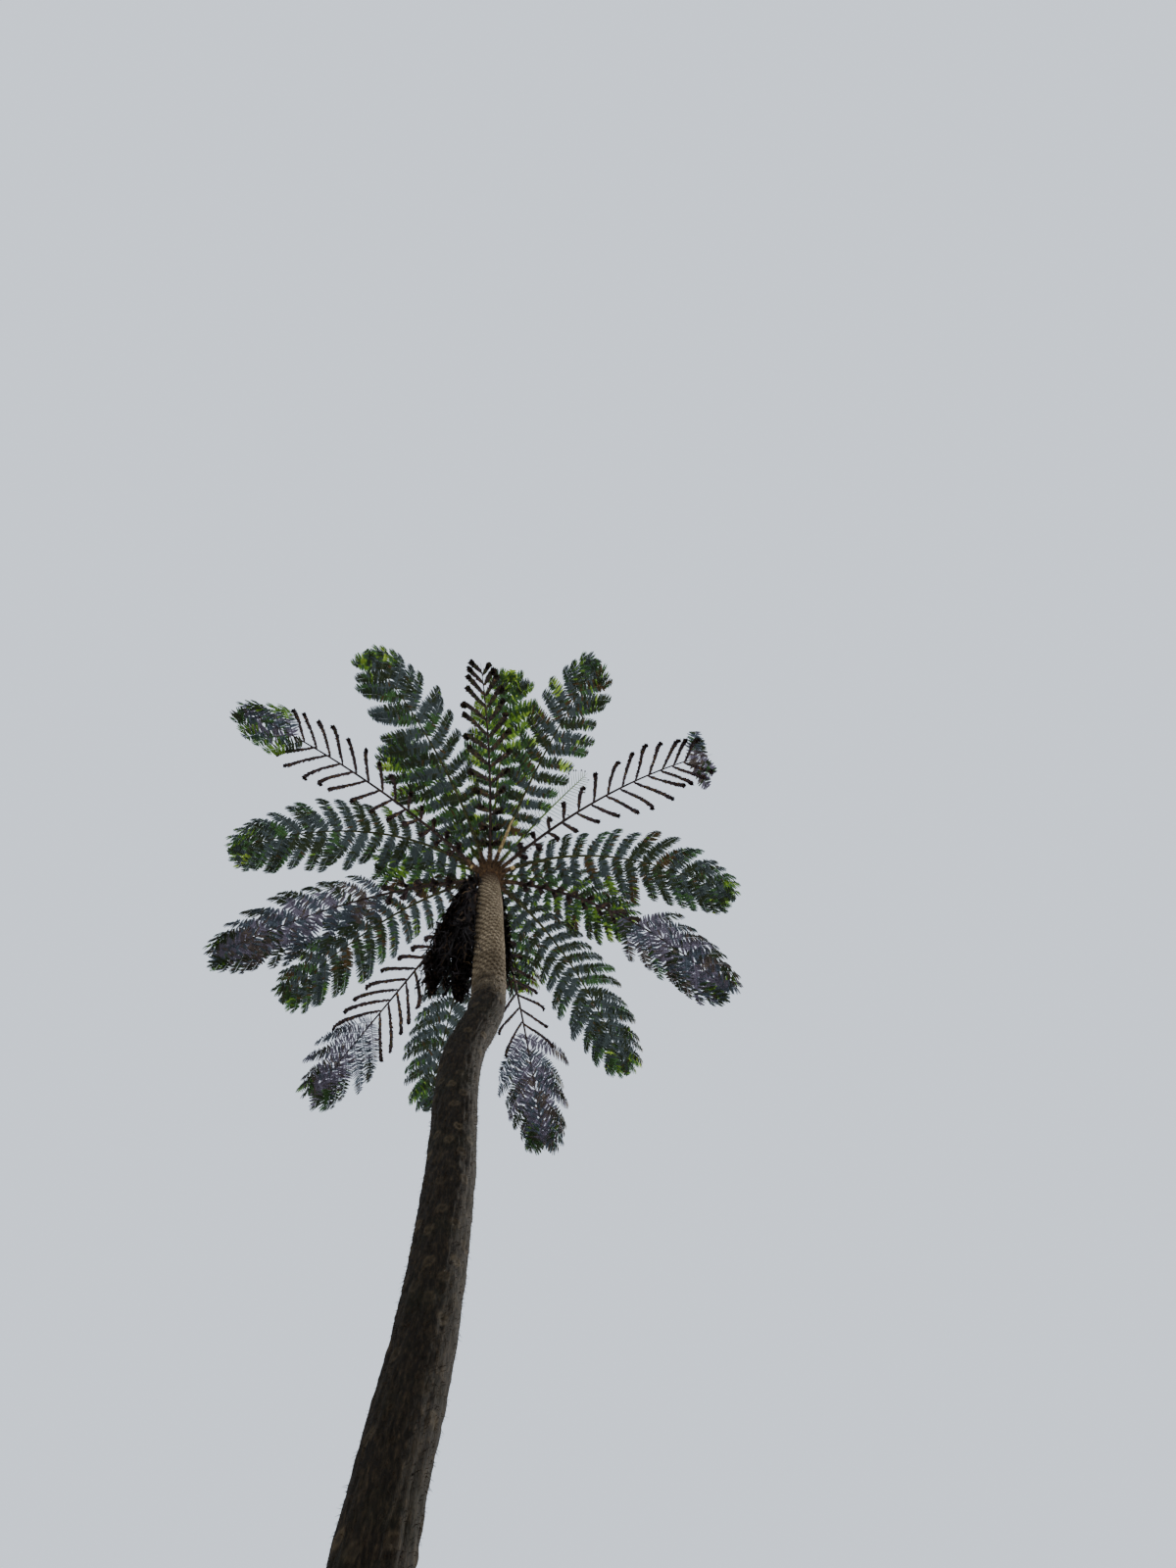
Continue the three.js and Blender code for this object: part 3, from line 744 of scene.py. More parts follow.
def pinnae_of(frond, stand, greatest, habit, dice, closing=0, steps=MIDRIB_STEPS):
    """The lines and lengths of the pinnae that stand on a frond. A length is the greatest by the frond's
    spread and the pinna's own share, a little uneven. A line is points, ways and what is across them: the
    points add up steps of a way that starts in the frond's plane, between along and across the rachis,
    and sags by a power of the share done. Curl hooks the end in, down and to a random side by a high
    power of it, and a pinna wanders sideways by a sine. Closing is how many degrees the pinnae have
    folded forward along the rachis."""
    u, side, share = stand
    sag, curl, wander = habit
    length = greatest * np.maximum(length_share(u), SHORTEST) * frond["spread"]
    length = length * (1 + wobble(dice, len(u), LENGTH_UNEVENNESS))
    along = direction(frond, share)
    angle = BASE_ANGLE + (TIP_ANGLE - BASE_ANGLE) * u + wobble(dice, len(u), ANGLE_UNEVENNESS) - closing
    angle = np.radians(angle)[:, None]
    out = np.cos(angle) * along + side[:, None] * np.sin(angle) * rightwards(frond, share)
    uneven = sag * (1 + wobble(dice, len(u), SAG_UNEVENNESS))
    done = np.linspace(0, 1, steps + 1)
    hooked = curl * done**HOOK_POWER
    phase = 2 * np.pi * dice.random(len(u))[:, None]
    swaying = wander * (np.sin(phase + WANDER_WAVE * done) - np.sin(phase))
    swaying = swaying + between(HOOK_SIDEWAYS, dice.random(len(u)))[:, None] * hooked
    ways = out[:, None] * (1 - HOOK_INWARDS * hooked)[None, :, None] + swaying[..., None] * along[:, None]
    ways = unit(ways + (uneven[:, None] * done**SAG_POWER + HOOK_DOWN * hooked)[..., None] * DOWN)
    hops = 0.5 * (ways[:, 1:] + ways[:, :-1]) * (length / steps)[:, None, None]
    gone = np.concatenate([np.zeros((len(u), 1, 3)), np.cumsum(hops, axis=1)], axis=1)
    across = side[:, None, None] * along[:, None]
    across = unit(across - np.sum(across * ways, axis=-1, keepdims=True) * ways)
    return (place(frond, share)[:, None] + gone, ways, across), length


def read_off(rows, share):
    """Values between the rows of an array of pinna, row and axis, at one share for each pinna."""
    steps = rows.shape[1] - 1
    low = np.minimum((share * steps).astype(int), steps - 1)
    part = (share * steps - low)[:, None]
    owner = np.arange(len(rows))
    return rows[owner, low] * (1 - part) + rows[owner, low + 1] * part


def tapered(lines, radii, sides):
    """Round limbs along the lines, whose radius goes evenly from the first to the second."""
    points, _, across = lines
    done = np.linspace(0, 1, points.shape[1])
    return tubes(points, np.broadcast_to(between(radii, done), points.shape[:2]), across, sides)


# A leaflet's own shape: a midline of five points and a tip, and on both sides four blunt lobes that lean
# forward, each of two triangles, with the edges a little lower than the midline
LOBES = 4
LOBE_WIDTHS = np.array([0.86, 1.0, 0.88, 0.62])
LOBE_NARROWING = 0.86
LOBE_LEAN = (0.05, 0.045)
LAST_LOBE_END = 0.84
LEAFLET_FOLD = 0.10
LEAFLET_DROOP = 0.16
midline_x = np.linspace(0, LAST_LOBE_END, LOBES + 1)
lobe_x = np.stack([midline_x[:-1] + LOBE_LEAN[0], midline_x[1:] + LOBE_LEAN[1]], axis=-1)
lobe_x[0, 0] = 0
lobe_y = np.stack([LOBE_WIDTHS, LOBE_NARROWING * LOBE_WIDTHS], axis=-1)
leaflet_x = np.concatenate([midline_x, [1.0], lobe_x.ravel(), lobe_x.ravel()])
leaflet_y = np.concatenate([np.zeros(LOBES + 2), lobe_y.ravel(), -lobe_y.ravel()])
leaflet_z = -LEAFLET_FOLD * np.abs(leaflet_y) - LEAFLET_DROOP * leaflet_x**2
lobe = np.arange(LOBES)
left_lobe = LOBES + 2 + 2 * lobe
right_lobe = left_lobe + 2 * LOBES
leaflet_faces = np.vstack([
    np.stack([lobe, lobe + 1, left_lobe + 1], axis=-1), np.stack([lobe, left_lobe + 1, left_lobe], axis=-1),
    np.stack([lobe + 1, lobe, right_lobe], axis=-1),
    np.stack([lobe + 1, right_lobe, right_lobe + 1], axis=-1),
    [(LOBES, LOBES + 1, left_lobe[-1] + 1), (LOBES + 1, LOBES, right_lobe[-1] + 1)],
])

LEAFLET_SPACING = 0.0145
LEAFLET_LENGTH = 0.075
LEAFLET_HALF_WIDTH = 0.0104
WIDEST_LEAFLET = 0.30
FEWEST_LEAFLETS = 4
FLANK_STAGGER = 0.15
LEAFLET_PLACES = (0.012, 0.995)
LEAFLET_ANGLE = 80
LEAFLET_CLOSING = 32
LEAFLET_UNEVENNESS = 14
LEAFLET_TILT = (-0.186, 0.114)
OUTLINE_START = 0.68
OUTLINE_GAIN = 2.6
OUTLINE_FALL = 9
OUTLINE_BLUNTNESS = 0.7
SMALLEST_LEAFLET = 0.16
LEAFLET_SIZE_UNEVENNESS = 0.2


def set_out(root, sizes, widths, ways, wide, over, form, faces):
    """One small form at each root: its x along the way and its z over it, both by the size, and its y
    along wide, by the width."""
    x, y, z = form
    points = root[:, None] + (sizes[:, None] * x)[..., None] * ways[:, None]
    points = points + (widths[:, None] * y)[..., None] * wide[:, None]
    points = points + (sizes[:, None] * z)[..., None] * over[:, None]
    return points.reshape(-1, 3), copies(faces, len(root), len(x))


def leaflets_on(lines, length, narrowing, dice, fullness=1.0, shrink=1.0, unevenness=LEAFLET_UNEVENNESS):
    """Two rows of leaflets on each pinna, as many as its length holds, of which the fullness is the share
    that is left. A leaflet leaves the midrib at a wide angle that closes towards the tip, uneven by some
    degrees, its length follows the pinna's outline, and shrink, one number or one for each pinna, narrows
    it."""
    counts = np.maximum(FEWEST_LEAFLETS, (length / LEAFLET_SPACING).astype(int))
    owner = np.repeat(np.arange(len(length)), counts)
    order = np.arange(counts.sum()) - np.repeat(np.cumsum(counts) - counts, counts)
    share = (order + 0.5) / counts[owner]
    owner, share = np.repeat(owner, 2), np.repeat(share, 2)
    flank = np.tile([-1.0, 1.0], len(owner) // 2)
    share = share + FLANK_STAGGER * flank / counts[owner] + wobble(dice, len(owner), PLACE_UNEVENNESS)
    kept = dice.random(len(owner)) < fullness
    owner, share, flank = owner[kept], np.clip(share, *LEAFLET_PLACES)[kept], flank[kept]
    root, way, beside = [read_off(rows[owner], share) for rows in lines]
    way = unit(way)
    beside = unit(beside) * flank[:, None]
    angle = LEAFLET_ANGLE - LEAFLET_CLOSING * share**2 + wobble(dice, len(owner), unevenness)
    out = towards(np.radians(angle)[:, None], way, beside)
    over = unit(np.cross(way, beside) * flank[:, None])
    over = over * np.sign(np.sum(over * UP, axis=-1, keepdims=True) + 1e-6)
    out = unit(out + over * between(LEAFLET_TILT, dice.random(len(owner)))[:, None])
    outline = np.minimum(1, OUTLINE_START + OUTLINE_GAIN * share)
    outline = outline * (1 - share**OUTLINE_FALL) ** OUTLINE_BLUNTNESS
    size = LEAFLET_LENGTH * narrowing[owner] * np.maximum(outline, SMALLEST_LEAFLET)
    size = size * (1 + wobble(dice, len(owner), LEAFLET_SIZE_UNEVENNESS))
    half = np.minimum(LEAFLET_HALF_WIDTH, WIDEST_LEAFLET * size) * np.broadcast_to(shrink, len(length))[owner]
    form = (leaflet_x, leaflet_y, leaflet_z)
    points, faces = set_out(root, size, half, out, np.cross(over, out), over, form, leaflet_faces)
    return points, faces, owner, share


def leaf_finish(name, colour, thinness):
    """A leaflet's skin: one even colour, part of whose light comes through from the other face."""
    material, tree, shader = new_finish(name, 0.55)
    shader.inputs["Base Color"].default_value = srgb(*colour)
    through = add_node(tree, "ShaderNodeBsdfTranslucent", Color=srgb(*colour))
    both = add_node(tree, "ShaderNodeMixShader", Fac=thinness)
    give(tree, both.inputs[1], shader.outputs["BSDF"])
    give(tree, both.inputs[2], through.outputs["BSDF"])
    give(tree, tree.nodes["Material Output"].inputs["Surface"], both.outputs["Shader"])
    return material


def dealt(weights, count, dice):
    """The number of a finish for each of count sprays, dealt out by the weights."""
    shares = np.cumsum(np.array(weights) / np.sum(weights))
    return np.searchsorted(shares, dice.random(count)).clip(0, len(weights) - 1)


living_finishes = [
    leaf_finish("slate_leaf", (60, 69, 71), 0.3), leaf_finish("deep_green_leaf", (43, 51, 36), 0.35),
    leaf_finish("mid_green_leaf", (54, 80, 48), 0.4), leaf_finish("bright_green_leaf", (86, 116, 42), 0.45),
    leaf_finish("yellow_green_leaf", (124, 148, 58), 0.5),
    leaf_finish("golden_brown_leaf", (68, 55, 36), 0.3),
]
midrib_finishes = [
    plain_finish("pale_midrib", (98, 106, 90), 0.6), plain_finish("brown_midrib", (86, 66, 38), 0.7),
]

# How each frond's sprays are dealt: weights of the six finishes on the inner and the outer part of a pinna,
# and of those at the frond's tip. Slate on the inner parts is partly painted shade, and the brighter greens
# towards the tips are partly painted light through the leaves.
SLATE_LIVING = ((7, 3, 1, 0, 0, 0.3), (4, 5, 2, 0.3, 0, 0))
GREEN_YOUNG = ((1, 2, 6, 2, 0.2, 0), (0, 4, 3, 2, 0.5, 2))
LIVING_WEIGHTS = {
    "living_frond_1": SLATE_LIVING,
    "living_frond_2": ((6, 2, 1, 0, 0, 2), (4, 4, 2, 0.3, 0, 0.5)),
    "living_frond_3": SLATE_LIVING,
    "living_frond_4": ((7, 3, 1, 0, 0, 0.3), (4, 4, 2, 0.5, 0, 0.7)),
    "living_frond_5": ((7, 3, 1, 0, 0, 1), (4, 4, 2, 0.4, 0, 0.5)),
    "living_frond_6": ((5, 2, 1, 0.3, 0, 1.5), (3, 4, 3, 1, 0.2, 0.3)),
    "living_frond_7": ((7, 3, 1, 0, 0, 0.3), (4, 4, 2, 0.6, 0, 0)),
    "young_frond_1": ((1, 2, 5, 2, 0.5, 0), (0, 1, 2, 4, 3, 0)),
    "young_frond_2": GREEN_YOUNG, "young_frond_3": GREEN_YOUNG,
    "young_frond_4": GREEN_YOUNG, "young_frond_5": GREEN_YOUNG,
}
LIVING_TIP = (1, 3, 4, 2, 0.5, 0.3)
TIP_ZONE = 0.84
TIP_ZONE_UNEVENNESS = 0.12
TIP_ZONE_INWARDS = 0.25
SPRAYS_A_TIP = 4
INNER_ZONE = (0.62, 0.32)
INNER_ZONE_UNEVENNESS = 0.25
STRAY_SHARE = 0.45
BROWN_RIB_SHARE = 0.35
END_SPRAY_FROM = 0.955
END_SPRAY_LENGTH = 1.2
END_SPRAY_NARROWING = 0.6
PIECE_TRIANGLES = 190000


def in_zones(inner, outer, tip, owner, along, u, dice):
    """The finish of each leaflet. A pinna has one finish by the inner weights and one by the outer, which
    change over nearer the rachis towards the frond's tip, and a share of leaflets is dealt singly. The
    last pinnae of the frond have a few finishes each by the tip's weights."""
    inner_finish = dealt(inner, len(u), dice)[owner]
    outer_finish = dealt(outer, len(u), dice)[owner]
    spray = SPRAYS_A_TIP * owner
    tip_finish = dealt(tip, SPRAYS_A_TIP * len(u), dice)[spray + dice.integers(0, SPRAYS_A_TIP, len(owner))]
    is_inner = along + wobble(dice, len(owner), INNER_ZONE_UNEVENNESS) < between(INNER_ZONE, u[owner])
    stray_finish = np.where(along < 0.5, dealt(inner, len(owner), dice), dealt(outer, len(owner), dice))
    strays = dice.random(len(owner)) < STRAY_SHARE
    finish = np.where(strays, stray_finish, np.where(is_inner, inner_finish, outer_finish))
    at_tip = u[owner] + wobble(dice, len(owner), TIP_ZONE_UNEVENNESS) > TIP_ZONE
    return np.where(at_tip & (along > TIP_ZONE_INWARDS), tip_finish, finish)


def leafy(frond, dice):
    """A living frond's midribs and its leaflets, with the finish of each of their faces. One more spray
    of leaflets ends the rachis."""
    stand = pairs_along(frond, PAIR_SPACING, dice)
    lines, length = pinnae_of(frond, stand, LIVING_LENGTH, LIVING_HABIT, dice)
    ribs = tapered(lines, LIVING_MIDRIB, MIDRIB_SIDES)
    u = stand[0]
    narrowing = between(NARROWING, length_share(u))
    leaf_points, leaf_faces, owner, along = leaflets_on(lines, length, narrowing, dice)
    tip = np.linspace(END_SPRAY_FROM, 1, MIDRIB_STEPS + 1)
    tip_lines = [read(frond, tip)[None] for read in (place, direction, rightwards)]
    tip_length = np.array([END_SPRAY_LENGTH * frond["length"] * (1 - tip[0])])
    tip_narrowing = np.array([END_SPRAY_NARROWING])
    tip_points, tip_faces, tip_owner, _ = leaflets_on(tip_lines, tip_length, tip_narrowing, dice)
    inner, outer = LIVING_WEIGHTS[frond["name"]]
    finish = in_zones(inner, outer, LIVING_TIP, owner, along, u, dice)
    rib_finish = (dice.random(len(u)) < BROWN_RIB_SHARE).astype(int)
    tip_finish = dealt(outer, len(tip_owner), dice)
    return (*ribs, np.repeat(rib_finish, len(ribs[1]) // len(u))), joined([
        (leaf_points, leaf_faces, np.repeat(finish, len(leaflet_faces))),
        (tip_points, tip_faces, np.repeat(tip_finish, len(leaflet_faces))),
    ])


for group, seed in (("living", 21), ("young", 22)):
    dice = np.random.default_rng(seed)
    made = [leafy(frond, dice) for frond in group_of(group)]
    add_joined(f"{group}_midribs", [ribs for ribs, _ in made], midrib_finishes)
    batches = [[]]
    for _, leaves in made:
        if sum(len(faces) for _, faces, _ in batches[-1]) + len(leaves[1]) > PIECE_TRIANGLES:
            batches.append([])
        batches[-1].append(leaves)
    for number, batch in enumerate(batches, start=1):
        add_joined(f"{group}_leaflets_{number}", batch, living_finishes)


# On the older fronds the inner pinnae have withered to dark furry cords with hooked ends: the midrib has
# curled up and its dry leaflets cling to it. Their outer pinnae still have thin, greyish leaflets.

WITHERED_LENGTH = 0.45
WITHERED_HABIT = (0.8, 1.6, 0.07)
DRY_EDGE_UNEVENNESS = 0.06
DRY_EDGE_OUTWARDS = 0.02
INNERMOST_CORD = 0.25
CORDS_GROW = (0.12, 0.55)
CORD_RADII = (0.008, 0.005)
CORD_SIDES = 5
CORD_WEIGHTS = (3, 5, 1, 0)
CORD_FLAKES = 380
CORD_FLAKE_WEIGHTS = (4, 5, 1.5, 0.15)
FEWEST_FLAKES = 0.3
FLAKE_LENGTHS = (0.028, 0.056)
FLAKE_HALF_WIDTH = 0.0088
FLAKE_LEAN = 2.2
FLAKE_PLACES = 0.98
FLAKE_PLACE_POWER = 0.85
FLAKE_HANG = 0.45
FLAKE_ROLL = 0.2
FLAKE_SPREAD = 0.5
FLAKE_GROWTH = (0.6, 1.1)
END_FLAKE = 0.28
END_FLAKE_GAIN = 3.6

# A flake's own shape: two triangles, widest at two thirds, with its edges raised
flake_form = np.array([(0, 0.66, 1, 0.72), (0, 1, 0, -1), (0, 0.22, 0, 0.22)])
flake_faces = np.array([(0, 2, 1), (0, 3, 2)])


def flakes_on(lines, count, lengths, half_width, lean, dice):
    """Small dry blades round each cord, count to a cord: each starts on the cord at a random share, and
    points away from it at a random turn, leaning by a share along its way, and hangs a little. They
    grow along the cord, and are small again at its very end."""
    owner = np.repeat(np.arange(len(lines[0])), count)
    share = FLAKE_PLACES * dice.random(len(owner)) ** FLAKE_PLACE_POWER
    root, way, side = [read_off(rows[owner], share) for rows in lines]
    way, side = unit(way), unit(side)
    off = towards(2 * np.pi * dice.random(len(owner))[:, None], side, np.cross(way, side))
    out = unit(off + lean * way + FLAKE_HANG * DOWN + wobble(dice, (len(owner), 3), FLAKE_SPREAD))
    wide = unit(np.cross(out, way + FLAKE_ROLL * side))
    size = between(lengths, dice.random(len(owner))) * between(FLAKE_GROWTH, share)
    size = size * np.minimum(1, END_FLAKE + END_FLAKE_GAIN * (1 - share))
    widths = np.full(len(owner), half_width)
    return set_out(root, size, widths, out, wide, np.cross(wide, out), flake_form, flake_faces)


def furry_cords(lines, radii, cord_weights, flakes, flake_weights, dice):
    """Cords along the lines and the flakes on them, each with the finish of every face."""
    cord_points, cord_faces = tapered(lines, radii, CORD_SIDES)
    cords = len(lines[0])
    cord_finish = np.repeat(dealt(cord_weights, cords, dice), len(cord_faces) // cords)
    flake_points, faces = flakes_on(lines, *flakes, dice)
    flake_finish = np.repeat(dealt(flake_weights, len(faces) // len(flake_faces), dice), len(flake_faces))
    return (cord_points, cord_faces, cord_finish), (flake_points, faces, flake_finish)


dry_finishes = [
    plain_finish("dry_purple_brown", (62, 50, 54)), plain_finish("dry_black_brown", (40, 34, 36)),
    plain_finish("dry_umber", (78, 60, 46)), plain_finish("dry_tan", (120, 98, 72)),
    plain_finish("dry_olive", (60, 63, 43)),
]
fading_finishes = [
    leaf_finish("purple_grey_leaf", (88, 84, 99), 0.4), leaf_finish("brown_slate_leaf", (74, 67, 64), 0.35),
    leaf_finish("dull_slate_leaf", (64, 72, 82), 0.35), *living_finishes[1:4],
]
# For the outer pinnae of each withered frond: weights of the six fading finishes on the inner and the
# outer part of a pinna, the leaflets' width as a share of the usual beside the cords and at the frond's
# tip, how far the pinnae sag as a share of the living ones, and how many degrees they have folded forward
FADING = {
    "withered_frond_1": ((5, 2, 4, 0.5, 0, 0), (0.5, 2, 2, 5, 0.4, 0), (0.85, 1.25), 1, 9),
    "withered_frond_2": ((6, 1, 3, 0, 0, 0), (2, 2, 3, 2, 0, 0), (0.55, 1.1), 1, 9),
    "withered_frond_3": ((6, 1, 3, 0, 0, 0), (1.5, 3, 2, 2.5, 0, 0), (0.75, 1.25), 1, 9),
    "withered_frond_4": ((5, 1, 4, 0.5, 0, 0), (0.5, 2, 2, 5, 0.5, 0), (0.85, 1.25), 1, 9),
    "withered_frond_5": ((3, 5, 0, 0, 0, 0), (2, 4, 1, 1, 0, 0), (1.1, 1.0), 0.4, -22),
    "withered_frond_7": ((2, 1, 4, 1, 1, 0), (0, 0.3, 1, 0.5, 3, 4), (0.85, 1.0), 1, 9),
}
FADING_TIP = (0.5, 1, 1, 4, 2, 0.8)
FADING_CURL = 0.5
FADING_WANDER = 0.15
FADING_MIDRIB = (0.0030, 0.0006)
FADING_NARROWING = (0.80, 1.08)
FADING_FULLNESS = 0.97
FADING_UNEVENNESS = 24
# Each frond's cords: their length and the thickness of the dry leaflets on them, as shares of the usual,
# how many degrees they have folded forward, and the weight of olive among their finishes
CORDS = {
    "withered_frond_1": (0.42, 1.5, 30, 2.0), "withered_frond_2": (1.0, 1.25, 18, 0.3),
    "withered_frond_3": (0.85, 1.0, 18, 0.3), "withered_frond_4": (0.27, 1.4, 36, 2.0),
    "withered_frond_5": (0.95, 1.25, 12, 0.3), "withered_frond_6": (0.8, 1.6, 14, 5.0),
    "withered_frond_7": (1.05, 1.2, 14, 0.3),
}

dice = np.random.default_rng(31)
cord_parts, flake_parts, fading_ribs, fading_leaves = [], [], [], []
for frond in group_of("withered"):
    stand = pairs_along(frond, PAIR_SPACING, dice)
    share = stand[2]
    dry = share + wobble(dice, len(share), DRY_EDGE_UNEVENNESS) < frond["withered"] + DRY_EDGE_OUTWARDS
    cord_share, thickness, closing, olive = CORDS[frond["name"]]
    growth = between((INNERMOST_CORD, 1), smooth_step(share[dry], *CORDS_GROW))
    greatest = cord_share * WITHERED_LENGTH * growth
    lines, _ = pinnae_of(frond, stand[:, dry], greatest, WITHERED_HABIT, dice, closing)
    flakes = (
        round(CORD_FLAKES * between((FEWEST_FLAKES, 1), cord_share)),
        thickness * np.array(FLAKE_LENGTHS), thickness * FLAKE_HALF_WIDTH, FLAKE_LEAN,
    )
    flake_weights = (*CORD_FLAKE_WEIGHTS, olive)
    cords, flakes = furry_cords(lines, CORD_RADII, CORD_WEIGHTS, flakes, flake_weights, dice)
    cord_parts.append(cords)
    flake_parts.append(flakes)
    if frond["name"] in FADING:
        inner, outer, widths, sag, closing = FADING[frond["name"]]
        stand = stand[:, ~dry]
        u = stand[0]
        habit = (sag * LIVING_HABIT[0], FADING_CURL, FADING_WANDER)
        lines, length = pinnae_of(frond, stand, LIVING_LENGTH, habit, dice, closing)
        ribs = tapered(lines, FADING_MIDRIB, MIDRIB_SIDES)
        fading_ribs.append((*ribs, np.zeros(len(ribs[1]), int)))
        narrowing = between(FADING_NARROWING, length_share(u))
        shrink = np.interp(u, [u.min(), 1], widths)
        leaf_points, leaf_faces, owner, along = leaflets_on(
            lines, length, narrowing, dice, FADING_FULLNESS, shrink, FADING_UNEVENNESS
        )
        finish = in_zones(inner, outer, FADING_TIP, owner, along, u, dice)
        fading_leaves.append((leaf_points, leaf_faces, np.repeat(finish, len(leaflet_faces))))

for name, parts, finishes in (
    ("withered_cords", cord_parts, dry_finishes), ("withered_flakes", flake_parts, dry_finishes),
    ("fading_midribs", fading_ribs, [plain_finish("dry_midrib", (50, 40, 38), 0.8)]),
    ("fading_leaflets", fading_leaves, fading_finishes),
):
    add_joined(name, parts, finishes)


# Dead fronds hang round the top of the trunk as a dense, almost black skirt. Their pinnae have shrunk and
# droop along the rachis, matted with curled dry leaflets and torn strips.

SHRUNKEN_LENGTH = 0.22
SHRUNKEN_HABIT = (9, 0.8, 0.3)
SHRUNKEN_RADII = (0.010, 0.003)
SHRUNKEN_WEIGHTS = (1, 5, 1, 0)
DEAD_PAIR_SPACING = 0.21
DEAD_FLAKES = (230, (0.025, 0.06), 0.006, 0.7)
DEAD_FLAKE_WEIGHTS = (1.5, 7, 1.2, 0.12)
CORD_CLEARANCE = 0.02
FLAKE_CLEARANCE = 0.006
STRIP_CLEARANCE = 0.008
STRIP_ROOT_CLEARANCE = 0.03
STRIPS_PER_FROND = 460
STRIP_ROWS = 5
STRIP_SWAY = 0.10
STRIP_WAVE = 4
STRIP_TWIST = 1.5
STRIP_NARROWING = 0.75
STRIP_WEIGHTS = (1, 7, 1, 0.1)
STRIP_SPREAD = (0.03, 0.09)
STRIP_SPREAD_EACH_WAY = (2, 2, 1)
STRIP_PLACES = (0.03, 0.89)
STRIP_PLACE_POWER = 0.8
STRIP_LENGTHS = (0.12, 0.46)
STRIP_HALF_WIDTHS = (0.003, 0.009)
LOWEST_STRIP = 9.15
LEAST_STRIP_GAP = 0.1
# The strips that hang right beside the trunk, on the side where three dead fronds are: dead matter that also
# fills the gap between the skirt and the trunk as painted shade
NEAR_STRIPS = 620
NEAR_TURNS = (118, 218)
NEAR_HEIGHTS = (9.75, 11.85)
NEAR_REACH = (TRUNK_RADIUS + 0.02, TRUNK_RADIUS + 0.12)
NEAR_LENGTHS = (0.15, 0.50)
NEAR_HALF_WIDTHS = (0.003, 0.010)


def off_trunk(points, clearance):
    """Points that would be in the trunk are moved straight out of its middle until they clear it."""
    middle = middle_at(points[..., 2])
    away = points - middle
    reach = np.linalg.norm(away[..., :2], axis=-1, keepdims=True)
    least = TRUNK_RADIUS + TRUNK_THICKENING + clearance
    below = points[..., 2:] < TRUNK_TOP
    return np.where(below & (reach < least), middle + away * least / np.maximum(reach, 1e-4), points)


def hanging_strips(roots, lengths, half_widths, dice):
    """Torn strips that hang from their roots, as long and as wide as a random number between the ends
    given and no lower than the lowest: pairs of points that sway by a sine, twist a little and narrow to
    the end, kept off the trunk, with the finish of each face."""
    length = between(lengths, dice.random(len(roots)))
    length = np.minimum(length, (1 - LEAST_STRIP_GAP) * (roots[:, 2] - LOWEST_STRIP))[:, None, None]
    half_width = between(half_widths, dice.random(len(roots)))[:, None, None]
    share = np.linspace(0, 1, STRIP_ROWS)[None, :, None]
    phase = 2 * np.pi * dice.random((len(roots), 1, 2))
    line = roots[:, None] + length * share * DOWN
    line[..., :2] += STRIP_SWAY * length * share * (np.sin(phase + STRIP_WAVE * share) - np.sin(phase))
    flat = level_way(2 * np.pi * dice.random((len(roots), 1)) + STRIP_TWIST * share[..., 0])
    half = half_width * (1 - STRIP_NARROWING * share**2)
    points = np.stack([line - half * flat, line + half * flat], axis=2).reshape(-1, 3)
    low = 2 * np.arange(STRIP_ROWS - 1)[:, None]
    shape = np.vstack([low + [0, 1, 3], low + [0, 3, 2]])
    finish = np.repeat(dealt(STRIP_WEIGHTS, len(roots), dice), len(shape))
    return off_trunk(points, STRIP_CLEARANCE), copies(shape, len(roots), 2 * STRIP_ROWS), finish


dead_finishes = [
    plain_finish("dead_purple_brown", (44, 37, 38)), plain_finish("dead_black_brown", (24, 20, 20)),
    plain_finish("dead_umber", (58, 45, 34)), plain_finish("dead_tan", (84, 68, 50)),
]
dice = np.random.default_rng(41)
cord_parts, flake_parts, strip_parts = [], [], []
for frond in group_of("dead"):
    stand = pairs_along(frond, DEAD_PAIR_SPACING, dice)
    (points, *others), _ = pinnae_of(frond, stand, SHRUNKEN_LENGTH, SHRUNKEN_HABIT, dice)
    lines = (off_trunk(points, CORD_CLEARANCE), *others)
    cords, flakes = furry_cords(
        lines, SHRUNKEN_RADII, SHRUNKEN_WEIGHTS, DEAD_FLAKES, DEAD_FLAKE_WEIGHTS, dice
    )
    cord_parts.append(cords)
    flake_parts.append((off_trunk(flakes[0], FLAKE_CLEARANCE), *flakes[1:]))
for frond in group_of("dead"):
    share = between(STRIP_PLACES, dice.random(STRIPS_PER_FROND) ** STRIP_PLACE_POWER)
    reach = frond["spread"] * between(STRIP_SPREAD, share)[:, None]
    roots = place(frond, share) + reach * wobble(dice, (STRIPS_PER_FROND, 3), 1) * STRIP_SPREAD_EACH_WAY
    roots = off_trunk(roots, STRIP_ROOT_CLEARANCE)
    strip_parts.append(hanging_strips(roots, STRIP_LENGTHS, STRIP_HALF_WIDTHS, dice))
near_turns = np.radians(between(NEAR_TURNS, dice.random(NEAR_STRIPS)))
near_roots = around(
    between(NEAR_HEIGHTS, dice.random(NEAR_STRIPS)), near_turns, between(NEAR_REACH, dice.random(NEAR_STRIPS))
)
strip_parts.append(hanging_strips(near_roots, NEAR_LENGTHS, NEAR_HALF_WIDTHS, dice))

for name, parts in (("dead_cords", cord_parts), ("dead_flakes", flake_parts), ("dead_strips", strip_parts)):
    add_joined(name, parts, dead_finishes)


# One frond is still unfurling. Its pinnae are pale threads, and more than half of them end in a small dark
# coil.

